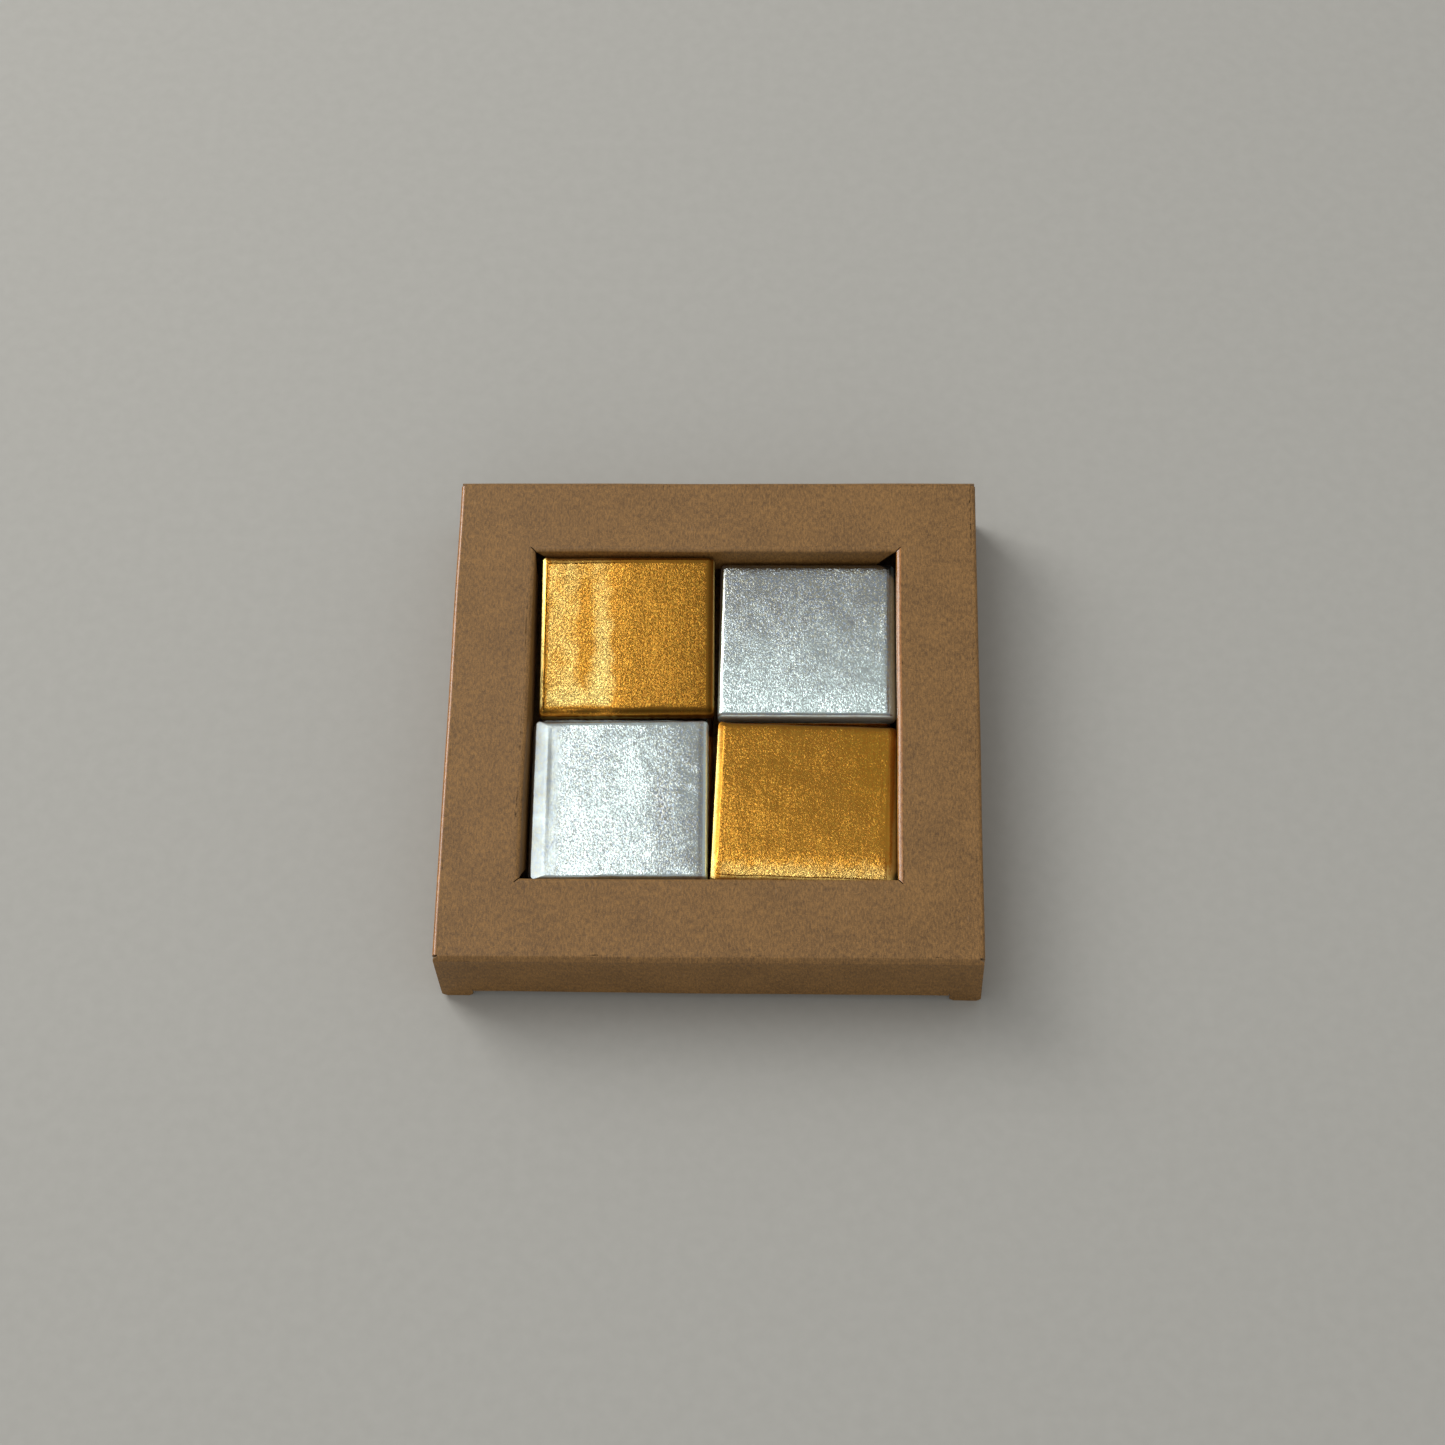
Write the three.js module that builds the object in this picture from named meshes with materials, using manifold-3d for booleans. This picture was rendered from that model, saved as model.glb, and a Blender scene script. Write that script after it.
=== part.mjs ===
// Kraft gift box with a square window and twelve foil-wrapped chocolate squares.
// A one-piece tuck-end carton: top, side walls, bottom and glue flap form a sleeve, two closures
// hinge on the top panel, and each has a tuck flap and two dust flaps behind it. Four flaps folded
// down round the window hold the top layer of chocolates in place.
// Millimetres, +Z up, origin at the centre of the footprint on the table, front towards -Y.

import * as THREE from 'three';
import { mergeVertices } from 'three/addons/utils/BufferGeometryUtils.js';
import Module from 'manifold-3d';

const wasm = await Module();
wasm.setup();

// Chocolate squares
const piece_width = 32.9; // across, X
const piece_depth = 32.6; // front to back, Y
const piece_thickness = 4;
const piece_bevel = 1.3; // how far the wrapped edge slopes in to the flat top
const piece_shoulder = 0.7; // height of that slope
const piece_corner = 0.3; // corner radius of the flat top
const foil_wall = 0.2;
const foil_clearance = 0.2; // between the foil and the chocolate in it
const seam_length = 22; // where the folded-under foil meets
const seam_width = 0.4;
const row_gap = 0.8; // between two neighbouring squares
const rest_gap = 0.3; // under every square
const tipped_angle = 5.2; // the back left square rides up at its back edge
const layer_names = ['bottom', 'middle', 'top'];

// Board and box
const board = 0.45;
const fold_radius = 0.65; // outside radius of every fold
const crease_gap = 0.1; // between the two panels that meet at a fold
const box_width = 100;
const box_depth = 100;
const head_room = 3.65; // from the flat squares of the top layer up to the outside of the top
const layer_pitch = piece_thickness + rest_gap;
const box_height = board + layer_names.length * layer_pitch + head_room;

// Window and its four flaps
const well_side_clearance = 1.42; // outermost square to flap, X
const well_end_clearance = 1.15; // outermost square to flap, Y
const window_half_width = piece_width + row_gap / 2 + well_side_clearance;
const window_half_depth = piece_depth + row_gap / 2 + well_end_clearance;
const window_flap_length = 7;
const window_flap_corner = 4.2; // how much the free edge is cut back at each end
const window_slit = 0.15; // gap at the slits in the window's corners
const window_shift = [-0.22, 0.3]; // from the middle of the top to that of the window, X and Y

// Closures with slit-lock ears, and their tuck flaps
const closure_side_clearance = 0.15;
const ear_width = 5.8;
const ear_ground_clearance = 0.1;
const ear_chamfer = 0.8;
const slit_width = 0.15;
const slit_rise = 0.8; // how far the slits run up past the fold
const tuck_fold_height = 1.4; // corner of the fold above the table
const tuck_rise_angle = 20; // a tucked flap slopes up into the box
const tuck_length = 9;
const tuck_taper = 3; // how much narrower each side of the tip is
const tuck_shoulder = 2.5; // straight part before the taper
const tuck_side_clearance = 0.2;

// Dust flaps
const closure_clearance = 0.2; // closure to dust flap
const dust_length = 26;
const dust_low = 1.2; // lowest edge, by the crease
const dust_shoulder = 4.9; // length of the full-height part by the crease
const dust_tip_low = 5.9; // lower edge at the tip, above the tuck flap
const dust_tip_high = 12.5; // upper edge at the tip, below the turned-out window flaps
const dust_step = 3.2; // lower edge just past the shoulder
const dust_taper_length = 11; // how far past the shoulder the slanted edges run
const dust_top_clearance = 0.8;
const dust_tip_radius = 1.5;

// Bottom panel and glue flap
const bottom_end_clearance = 0.35; // bottom panel to closure
const bottom_edge_setback = 0.3; // its free edge to the outside of the left wall
const glue_flap_width = 12;
const glue_flap_taper = 6.5;

const fold_steps = 3; // flat facets of half a fold
const curve_steps = 5; // straight pieces of a drawn curve
const overlap = 0.3; // pieces that are joined into one reach this far into each other
const beyond = 2; // cutting shapes reach this far past what they cut
const right_angle = 90;
const dust_plane = box_depth / 2 - board - closure_clearance; // outside face of the dust flaps

const axis_x = new THREE.Vector3(1, 0, 0);
const axis_y = new THREE.Vector3(0, 1, 0);
const axis_z = new THREE.Vector3(0, 0, 1);
const rad = THREE.MathUtils.degToRad;

// Solids

function toSolid(geometry) {
  const bare = geometry.clone();
  bare.deleteAttribute('normal');
  bare.deleteAttribute('uv');
  const merged = mergeVertices(bare, 1e-4);
  return new wasm.Manifold(new wasm.Mesh({
    numProp: 3,
    vertProperties: new Float32Array(merged.attributes.position.array),
    triVerts: new Uint32Array(merged.index.array),
  }));
}

function toGeometry(solid) {
  const mesh = solid.getMesh();
  const geometry = new THREE.BufferGeometry();
  geometry.setAttribute('position', new THREE.BufferAttribute(mesh.vertProperties, 3));
  geometry.setIndex(new THREE.BufferAttribute(mesh.triVerts, 1));
  geometry.computeVertexNormals();
  return geometry;
}

// A flat drawing in the plane of u and v, extruded evenly to both sides of origin.
function extruded(shape, depth, u, v, origin) {
  const geometry = new THREE.ExtrudeGeometry(shape, {
    depth,
    bevelEnabled: false,
    curveSegments: curve_steps,
  });
  const w = new THREE.Vector3().crossVectors(u, v);
  geometry.translate(0, 0, -depth / 2);
  geometry.applyMatrix4(new THREE.Matrix4().makeBasis(u, v, w).setPosition(...origin));
  return toSolid(geometry);
}

function block(low, high) {
  const geometry = new THREE.BoxGeometry(high[0] - low[0], high[1] - low[1], high[2] - low[2]);
  geometry.translate((low[0] + high[0]) / 2, (low[1] + high[1]) / 2, (low[2] + high[2]) / 2);
  return toSolid(geometry);
}

function drawn(points) {
  return new THREE.Shape(points.map(([x, y]) => new THREE.Vector2(x, y)));
}

// Folded board

// How far a fold reaches from its outside corner along each panel.
function foldReach(angle) {
  return fold_radius / Math.tan(rad(angle) / 2);
}

// Half of a fold, from the flat of the panel to the plane where the next panel starts.
function halfFold(corner, direction, angle, radius) {
  const centre = corner - direction * foldReach(angle);
  const stop = rad(angle) / 2 + Math.asin(crease_gap / 2 / radius);
  const points = [];
  for (let i = 0; i <= fold_steps; i++) {
    const turn = THREE.MathUtils.lerp(Math.PI / 2, stop, i / fold_steps);
    points.push([
      centre + direction * radius * Math.cos(turn),
      radius * Math.sin(turn) - fold_radius,
    ]);
  }
  return points;
}

// Section of a panel from start to end, outside face up at v = 0. An angle is the one between
// this panel and the next on the inside of the fold; null is a plain cut edge.
function panelSection(start, end, start_angle, end_angle) {
  const face = (radius, level) => [
    ...(start_angle ? halfFold(start, -1, start_angle, radius).reverse() : [[start, level]]),
    ...(end_angle ? halfFold(end, 1, end_angle, radius) : [[end, level]]),
  ];
  return drawn([...face(fold_radius, 0), ...face(fold_radius - board, -board).reverse()]);
}

// Top panel: a plate whose four outer edges turn into the folds, with the window cut out and a
// lip that turns down at each side of it.
function topPanel() {
  const flat_width = box_width - 2 * fold_radius;
  const flat_depth = box_depth - 2 * fold_radius;
  const across = panelSection(-box_width / 2, box_width / 2, right_angle, right_angle);
  const along = panelSection(-box_depth / 2, box_depth / 2, right_angle, right_angle);
  const plate = extruded(across, flat_depth, axis_x, axis_z, [0, 0, box_height])
    .add(extruded(along, flat_width, axis_y, axis_z, [0, 0, box_height]));
  const side = window_half_width + fold_radius;
  const end = window_half_depth + fold_radius;
  const [shift_x, shift_y] = window_shift;
  let panel = plate.subtract(block(
    [shift_x - side, shift_y - end, 0],
    [shift_x + side, shift_y + end, box_height + beyond],
  ));
  for (const window_side of windowSides()) {
    panel = panel.add(windowLip(window_side).translate([shift_x, shift_y, 0]));
  }
  return panel;
}

// The four sides of the window: the way out from its centre, its distance and half its length.
function windowSides() {
  const left_right = { distance: window_half_width, half_length: window_half_depth };
  const front_back = { distance: window_half_depth, half_length: window_half_width };
  return [
    { name: 'front', out: axis_y.clone().negate(), ...front_back },
    { name: 'right', out: axis_x.clone(), ...left_right },
    { name: 'back', out: axis_y.clone(), ...front_back },
    { name: 'left', out: axis_x.clone().negate(), ...left_right },
  ];
}

function windowLip({ out, distance, half_length }) {
  const reach = fold_radius + overlap;
  const origin = out.clone().multiplyScalar(distance).add(new THREE.Vector3(0, 0, box_height));
  const lip = extruded(
    panelSection(0, reach, right_angle, null),
    2 * (half_length + reach),
    out,
    axis_z,
    origin.toArray(),
  );
  const along = new THREE.Vector3().crossVectors(axis_z, out);
  const mitre = drawn([
    [0, window_slit - half_length],
    [reach + beyond, window_slit - half_length - reach - beyond],
    [reach + beyond, half_length - window_slit + reach + beyond],
    [0, half_length - window_slit],
  ]);
  return lip.intersect(extruded(mitre, 2 * beyond, out, along, origin.toArray()));
}

// A window flap hangs from its lip. Its free corners are cut back in a curve.
function windowFlap({ out, distance, half_length }) {
  const down = axis_z.clone().negate();
  const face = out.clone().negate();
  const origin = out.clone().multiplyScalar(distance).add(new THREE.Vector3(0, 0, box_height));
  const sheet = extruded(
    panelSection(0, window_flap_length + beyond, right_angle, null),
    2 * half_length,
    down,
    face,
    origin.toArray(),
  );
  const end = half_length - 2 * window_slit;
  const outline = new THREE.Shape();
  outline.moveTo(-beyond, -end);
  outline.lineTo(fold_radius, -end);
  outline.quadraticCurveTo(
    window_flap_length - window_flap_corner / 2,
    window_flap_corner / 3 - end,
    window_flap_length,
    window_flap_corner - end,
  );
  outline.lineTo(window_flap_length, end - window_flap_corner);
  outline.quadraticCurveTo(
    window_flap_length - window_flap_corner / 2,
    end - window_flap_corner / 3,
    fold_radius,
    end,
  );
  outline.lineTo(-beyond, end);
  const along = new THREE.Vector3().crossVectors(face, down);
  return sheet.intersect(extruded(outline, 2 * beyond, down, along, origin.toArray()));
}

// A side wall folds into the top at its upper edge, into the bottom or the glue flap at its lower
// edge, and into a dust flap at each end.
function sideWall(outward, low) {
  const face = axis_x.clone().multiplyScalar(outward);
  const origin = [outward * box_width / 2, 0, 0];
  const upright = panelSection(low, box_height, right_angle, right_angle);
  const along = panelSection(-dust_plane, dust_plane, right_angle, right_angle);
  const dust_high = box_height - dust_top_clearance;
  const middle = (dust_low + dust_high) / 2;
  return extruded(upright, 2 * (dust_plane - fold_radius), axis_z, face, origin)
    .add(extruded(along, dust_high - dust_low, axis_y, face, [origin[0], 0, middle]));
}

function bottomPanel() {
  const section = panelSection(
    bottom_edge_setback - box_width / 2,
    box_width / 2,
    null,
    right_angle,
  );
  const length = box_depth - 2 * (board + bottom_end_clearance);
  return extruded(section, length, axis_x, axis_z.clone().negate(), [0, 0, 0]);
}

// The glue flap hangs on the left wall and is glued to the inside of the bottom panel.
function glueFlap() {
  const left = -box_width / 2;
  const half_length = dust_plane - fold_radius;
  const section = panelSection(left, left + glue_flap_width + beyond, right_angle, null);
  const sheet = extruded(section, 2 * half_length, axis_x, axis_z.clone().negate(), [0, 0, board]);
  const outline = drawn([
    [left - beyond, -half_length],
    [left + fold_radius, -half_length],
    [left + glue_flap_width, glue_flap_taper - half_length],
    [left + glue_flap_width, half_length - glue_flap_taper],
    [left + fold_radius, half_length],
    [left - beyond, half_length],
  ]);
  return sheet.intersect(extruded(outline, 2 * beyond, axis_x, axis_y, [0, 0, board]));
}

// Front closure: a full-width panel with an ear at each end, slit away from the fold between them.
function closurePanel() {
  const front = -box_depth / 2;
  const half_width = box_width / 2 - closure_side_clearance;
  const slit_end = half_width - ear_width;
  const fold_angle = right_angle - tuck_rise_angle;
  const ear_end = box_height - ear_ground_clearance;
  const fold_end = box_height - tuck_fold_height;
  const slit_top = fold_end - foldReach(fold_angle) - slit_rise;
  const down = axis_z.clone().negate();
  const face = axis_y.clone().negate();
  const origin = [0, front, box_height];
  const plate = extruded(
    panelSection(0, ear_end + beyond, right_angle, null),
    2 * half_width,
    down,
    face,
    origin,
  );
  const outline = drawn([
    [-beyond, -half_width],
    [ear_end - ear_chamfer, -half_width],
    [ear_end, ear_chamfer - half_width],
    [ear_end, -slit_end - ear_chamfer],
    [ear_end - ear_chamfer, -slit_end],
    [slit_top, -slit_end],
    [slit_top, slit_end],
    [ear_end - ear_chamfer, slit_end],
    [ear_end, slit_end + ear_chamfer],
    [ear_end, half_width - ear_chamfer],
    [ear_end - ear_chamfer, half_width],
    [-beyond, half_width],
  ]);
  const fold_strip = extruded(
    panelSection(slit_top - overlap, fold_end, null, fold_angle),
    2 * (slit_end - slit_width),
    down,
    face,
    origin,
  );
  return plate.intersect(extruded(outline, 2 * beyond, down, axis_x, origin)).add(fold_strip);
}

// Front tuck flap: it slopes up into the box from the closure's lower fold.
function tuckFlap() {
  const rise = rad(tuck_rise_angle);
  const inward = new THREE.Vector3(0, Math.cos(rise), Math.sin(rise));
  const face = new THREE.Vector3(0, Math.sin(rise), -Math.cos(rise));
  const origin = [0, -box_depth / 2, tuck_fold_height];
  const half_width = box_width / 2 - closure_side_clearance - ear_width - tuck_side_clearance;
  const sheet = extruded(
    panelSection(0, tuck_length + beyond, right_angle - tuck_rise_angle, null),
    2 * half_width,
    inward,
    face,
    origin,
  );
  const outline = new THREE.Shape();
  outline.moveTo(-beyond, -half_width);
  outline.lineTo(tuck_shoulder, -half_width);
  outline.quadraticCurveTo(tuck_length, -half_width, tuck_length, tuck_taper - half_width);
  outline.lineTo(tuck_length, half_width - tuck_taper);
  outline.quadraticCurveTo(tuck_length, half_width, tuck_shoulder, half_width);
  outline.lineTo(-beyond, half_width);
  return sheet.intersect(extruded(outline, 2 * beyond, inward, axis_x, origin));
}

// Front left dust flap: full height by the crease, then slanted top and bottom edges that clear
// the tuck flap below and the window flaps above.
function dustFlap() {
  const dust_high = box_height - dust_top_clearance;
  const origin = [-box_width / 2, -dust_plane, 0];
  const sheet = extruded(
    panelSection(0, dust_length + beyond, right_angle, null),
    2 * box_height,
    axis_x,
    axis_y.clone().negate(),
    origin,
  );
  const taper_end = dust_shoulder + dust_taper_length;
  const outline = new THREE.Shape();
  outline.moveTo(-beyond, dust_low);
  outline.lineTo(dust_shoulder, dust_low);
  outline.lineTo(dust_shoulder, dust_step);
  outline.lineTo(taper_end, dust_tip_low);
  outline.lineTo(dust_length - dust_tip_radius, dust_tip_low);
  outline.quadraticCurveTo(dust_length, dust_tip_low, dust_length, dust_tip_low + dust_tip_radius);
  outline.lineTo(dust_length, dust_tip_high - dust_tip_radius);
  outline.quadraticCurveTo(
    dust_length,
    dust_tip_high,
    dust_length - dust_tip_radius,
    dust_tip_high,
  );
  outline.lineTo(taper_end, dust_tip_high);
  outline.lineTo(dust_shoulder, dust_high);
  outline.lineTo(-beyond, dust_high);
  return sheet.intersect(extruded(outline, 2 * beyond, axis_x, axis_z, origin));
}

// Chocolates

// A slab with sloping edges all round, centred on the origin and shrunk by inset on every side.
function slab(inset) {
  const half_width = piece_width / 2 - piece_bevel - inset;
  const half_depth = piece_depth / 2 - piece_bevel - inset;
  const thickness = piece_thickness - 2 * inset;
  const shape = new THREE.Shape();
  shape.moveTo(piece_corner - half_width, -half_depth);
  shape.lineTo(half_width - piece_corner, -half_depth);
  shape.quadraticCurveTo(half_width, -half_depth, half_width, piece_corner - half_depth);
  shape.lineTo(half_width, half_depth - piece_corner);
  shape.quadraticCurveTo(half_width, half_depth, half_width - piece_corner, half_depth);
  shape.lineTo(piece_corner - half_width, half_depth);
  shape.quadraticCurveTo(-half_width, half_depth, -half_width, half_depth - piece_corner);
  shape.lineTo(-half_width, piece_corner - half_depth);
  shape.quadraticCurveTo(-half_width, -half_depth, piece_corner - half_width, -half_depth);
  const geometry = new THREE.ExtrudeGeometry(shape, {
    depth: thickness - 2 * piece_shoulder,
    bevelThickness: piece_shoulder,
    bevelSize: piece_bevel,
    bevelSegments: 1,
    curveSegments: 2,
  });
  geometry.translate(0, 0, piece_shoulder - thickness / 2);
  return toSolid(geometry);
}

// The foil is a thin shell round the chocolate, open along the seam underneath.
function foilShell() {
  const seam = block(
    [-seam_length / 2, -seam_width / 2, -piece_thickness],
    [seam_length / 2, seam_width / 2, 0],
  );
  return slab(0).subtract(slab(foil_wall)).subtract(seam);
}

// Where the four stacks stand and how each square in them lies, bottom layer first. shift is the
// nudge from an even two by two grid, and turn is in degrees, anticlockwise from above.
const stacks = [
  {
    name: 'back_left',
    column: -1,
    row: 1,
    foils: ['gold', 'silver', 'gold'],
    shifts: [[-0.1, 0.9], [-0.25, 0.8], [0.05, 1.2]],
    turns: [0.2, -0.3, 0.7],
    tips: [0, 0, tipped_angle],
  },
  {
    name: 'back_right',
    column: 1,
    row: 1,
    foils: ['silver', 'gold', 'silver'],
    shifts: [[0.2, 0.4], [0.1, 0.55], [0.5, 0.88]],
    turns: [-0.3, 0.5, -0.1],
    tips: [0, 0, 0],
  },
  {
    name: 'front_left',
    column: -1,
    row: -1,
    foils: ['silver', 'gold', 'silver'],
    shifts: [[-0.2, 0.1], [0, 0.1], [-0.56, 0.57]],
    turns: [0.5, -0.6, 0.72],
    tips: [0, 0, 0],
  },
  {
    name: 'front_right',
    column: 1,
    row: -1,
    foils: ['gold', 'silver', 'gold'],
    shifts: [[0.2, -0.2], [0.15, -0.2], [0.35, 0.02]],
    turns: [-0.4, 0.4, -1.8],
    tips: [0, 0, 0],
  },
];

// A tipped square turns about the front edge of its flat underside.
function placedSquare(stack, layer) {
  const tip = rad(stack.tips[layer]);
  const arm = piece_depth / 2 - piece_bevel;
  const centre_x = stack.column * (piece_width + row_gap) / 2 + stack.shifts[layer][0];
  const centre_y = stack.row * (piece_depth + row_gap) / 2 + stack.shifts[layer][1];
  const seat = board + rest_gap + layer * layer_pitch;
  const half = piece_thickness / 2;
  const group = new THREE.Group();
  group.position.set(
    centre_x,
    centre_y - arm + arm * Math.cos(tip) - half * Math.sin(tip),
    seat + arm * Math.sin(tip) + half * Math.cos(tip),
  );
  group.rotation.set(tip, 0, rad(stack.turns[layer]), 'ZXY');
  return group;
}

// Materials

const kraft = { color: 0xb48c62, roughness: 0.9, metalness: 0 };
const foil_looks = {
  gold: { color: 0xd9a441, roughness: 0.32, metalness: 1 },
  silver: { color: 0xc9ccd0, roughness: 0.32, metalness: 1 },
};
const chocolate = { color: 0x4a2c1d, roughness: 0.55, metalness: 0 };

function named(name, geometry, look) {
  const mesh = new THREE.Mesh(geometry, new THREE.MeshStandardMaterial(look));
  mesh.name = name;
  return mesh;
}

function boardMesh(name, solid) {
  return named(name, toGeometry(solid), kraft);
}

// The same geometry seen in a mirror across X, with its faces still pointing out.
function mirroredAcrossX(geometry) {
  const copy = geometry.clone();
  copy.scale(-1, 1, 1);
  const corners = copy.index.array;
  for (let i = 0; i < corners.length; i += 3) {
    [corners[i], corners[i + 1]] = [corners[i + 1], corners[i]];
  }
  copy.computeVertexNormals();
  return copy;
}

// Assembly

const box = new THREE.Group();
box.add(boardMesh('top_panel', topPanel()));
box.add(boardMesh('left_wall', sideWall(-1, board)));
box.add(boardMesh('right_wall', sideWall(1, 0)));
box.add(boardMesh('bottom_panel', bottomPanel()));
box.add(boardMesh('glue_flap', glueFlap()));

const window_flaps = new THREE.Group();
window_flaps.position.set(...window_shift, 0);
for (const window_side of windowSides()) {
  window_flaps.add(boardMesh(`window_flap_${window_side.name}`, windowFlap(window_side)));
}
box.add(window_flaps);

// Both ends are alike: the back one is the front one turned half way round.
const closure = toGeometry(closurePanel());
const tuck = toGeometry(tuckFlap());
const dust_left = toGeometry(dustFlap());
const dust_right = mirroredAcrossX(dust_left);
const box_ends = [
  { end: 'front', turn: 0, left: dust_left, right: dust_right },
  { end: 'back', turn: Math.PI, left: dust_right, right: dust_left },
];
for (const { end, turn, left, right } of box_ends) {
  const end_group = new THREE.Group();
  end_group.rotation.z = turn;
  end_group.add(named(`${end}_closure`, closure, kraft));
  end_group.add(named(`${end}_tuck_flap`, tuck, kraft));
  end_group.add(named(`${end}_dust_flap_left`, left, kraft));
  end_group.add(named(`${end}_dust_flap_right`, right, kraft));
  box.add(end_group);
}

const foil = toGeometry(foilShell());
const tablet = toGeometry(slab(foil_wall + foil_clearance));
for (const stack of stacks) {
  for (const [layer, layer_name] of layer_names.entries()) {
    const square = placedSquare(stack, layer);
    const place = `${layer_name}_${stack.name}`;
    square.add(named(`foil_wrapper_${place}`, foil, foil_looks[stack.foils[layer]]));
    square.add(named(`chocolate_${place}`, tablet, chocolate));
    box.add(square);
  }
}

export default box;
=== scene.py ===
"""Looks for the kraft gift box: folded kraft board round twelve foil-wrapped chocolate squares.

Lengths are in millimetres until a mesh is made. Every piece stands where its CAD node stands.
"""

import math

import bmesh
import bpy
import numpy as np
from mathutils import Matrix, Vector


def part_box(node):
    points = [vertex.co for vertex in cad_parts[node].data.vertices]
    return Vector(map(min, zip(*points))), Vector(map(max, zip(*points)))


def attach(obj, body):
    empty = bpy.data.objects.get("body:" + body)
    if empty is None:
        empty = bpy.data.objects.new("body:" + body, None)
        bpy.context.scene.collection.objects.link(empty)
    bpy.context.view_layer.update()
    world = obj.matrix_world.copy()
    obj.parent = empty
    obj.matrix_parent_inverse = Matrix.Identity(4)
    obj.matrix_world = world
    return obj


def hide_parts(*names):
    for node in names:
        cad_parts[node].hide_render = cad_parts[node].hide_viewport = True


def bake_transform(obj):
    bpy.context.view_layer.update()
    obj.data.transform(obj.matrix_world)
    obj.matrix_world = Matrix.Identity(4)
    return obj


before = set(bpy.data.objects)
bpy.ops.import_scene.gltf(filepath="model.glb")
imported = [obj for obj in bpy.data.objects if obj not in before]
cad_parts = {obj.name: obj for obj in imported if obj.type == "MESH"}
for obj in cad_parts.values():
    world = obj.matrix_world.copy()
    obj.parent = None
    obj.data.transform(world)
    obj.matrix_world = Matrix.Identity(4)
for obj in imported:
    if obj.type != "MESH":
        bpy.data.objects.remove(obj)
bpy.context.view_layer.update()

MM = 0.001

# Board and box, the same sizes as the CAD part
BOARD = 0.45
FOLD_RADIUS = 0.65
BOX_HALF = 50.0
BOX_HEIGHT = 17.0
SOFT_RADIUS = 1.6  # a fold at the window starts gently and ends more sharply
SHARP_RADIUS = 0.42
SOFT_TURN = 25.0
SOFT_SINE = math.sin(math.radians(SOFT_TURN))
SOFT_REACH = SOFT_RADIUS * SOFT_SINE + SHARP_RADIUS * (1 - SOFT_SINE)
SOFT_COSINE = math.cos(math.radians(SOFT_TURN))
SOFT_DROP = SOFT_RADIUS * (1 - SOFT_COSINE) + SHARP_RADIUS * SOFT_COSINE
TOP_FOLD = [("fold", SOFT_TURN, SOFT_RADIUS), ("fold", 90 - SOFT_TURN, SHARP_RADIUS)]
TOP_FLAT_HALF = BOX_HALF - SOFT_REACH
OUTER_FOLD = [("line", SOFT_REACH - FOLD_RADIUS, 1), ("fold", 90, FOLD_RADIUS)]
CRUSH_RADIUS = 0.4  # a closure's crease is pressed into a narrow sloping band
CRUSH_TURN = 50.0
CRUSH_BAND = (SOFT_REACH - CRUSH_RADIUS) / math.cos(math.radians(CRUSH_TURN))
CRUSH_DROP = CRUSH_RADIUS + CRUSH_BAND * math.sin(math.radians(CRUSH_TURN))
CLOSURE_FOLD = [
    ("fold", CRUSH_TURN, CRUSH_RADIUS),
    ("line", CRUSH_BAND, 2),
    ("fold", 90 - CRUSH_TURN, CRUSH_RADIUS),
]
FLAT_HALF = BOX_HALF - FOLD_RADIUS
WINDOW_HALF_X = 34.72
WINDOW_HALF_Y = 34.15
WINDOW_SHIFT = (-0.22, 0.3)
WINDOW_FLAP_LENGTH = 7.0
WINDOW_FLAP_CORNER = 4.8
WINDOW_SLIT = 0.15
CLOSURE_HALF_WIDTH = 49.85
EAR_WIDTH = 5.8
EAR_GROUND_CLEARANCE = 0.1
EAR_CHAMFER = 0.8
EAR_SLIT = 0.15
SLIT_TOP = 3.13
FRONT_LEAN = (0.35, 0.9)  # how far the foot of a closure stands out, at its left and right ends
BACK_LEAN = (0.2, 0.1)
LEFT_WINDOW_FLAP_LEAN = (0.55, 0.3)
TUCK_CORNER = 1.4
TUCK_RISE = 20.0
TUCK_LENGTH = 9.0
TUCK_TAPER = 3.0
TUCK_SHOULDER = 2.5
TUCK_SIDE_CLEARANCE = 0.2
DUST_PLANE = 49.35
DUST_LENGTH = 26.0
DUST_SHOULDER = 4.9
DUST_TAPER_END = 15.9
DUST_LOW = 1.2
DUST_STEP = 3.2
DUST_TIP_LOW = 5.9
DUST_TIP_HIGH = 12.5
DUST_HIGH = BOX_HEIGHT - 0.8
DUST_TIP_RADIUS = 1.5
DUST_JOG = 0.02  # the lower edge steps up within this length
WALL_HEM = 0.1  # a side wall's top fold is this much shorter than the flat top at each end
WALL_HALF = DUST_PLANE - FOLD_RADIUS
BOTTOM_HALF = BOX_HALF - BOARD - 0.35
BOTTOM_EDGE = BOX_HALF - 0.3
GLUE_FLAP_WIDTH = 12.0
GLUE_FLAP_TAPER = 6.5

# Half the size of a wrapped square
PIECE_HALF_X = 16.45
PIECE_HALF_Y = 16.3
PIECE_HALF_Z = 2.0

TINY = 1e-6
ARC_STEPS = 8
SHARP_EDGE = 40.0  # degrees between two faces
STRIP_STEPS = 7  # grid of the top panel, beside the window and along it
WINDOW_STEPS = 26
LEAD = 0.3  # short flat run before a fold, so that the shading runs on across the seam
# The folds of these two pieces face the lamps: they are glossier, and the lighter colour on them is a
# painted highlight.
POLISHED_AND_PAINTED_LIT_FOLDS = ("left_wall_board", "window_flap_right_board")
INSIDE_SHEET = 300.0  # moves the pattern of the inside face away from that of the outside face

X = np.array([1.0, 0.0, 0.0])
Y = np.array([0.0, 1.0, 0.0])
Z = np.array([0.0, 0.0, 1.0])


# Noise made of sines, the same on every run


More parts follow.
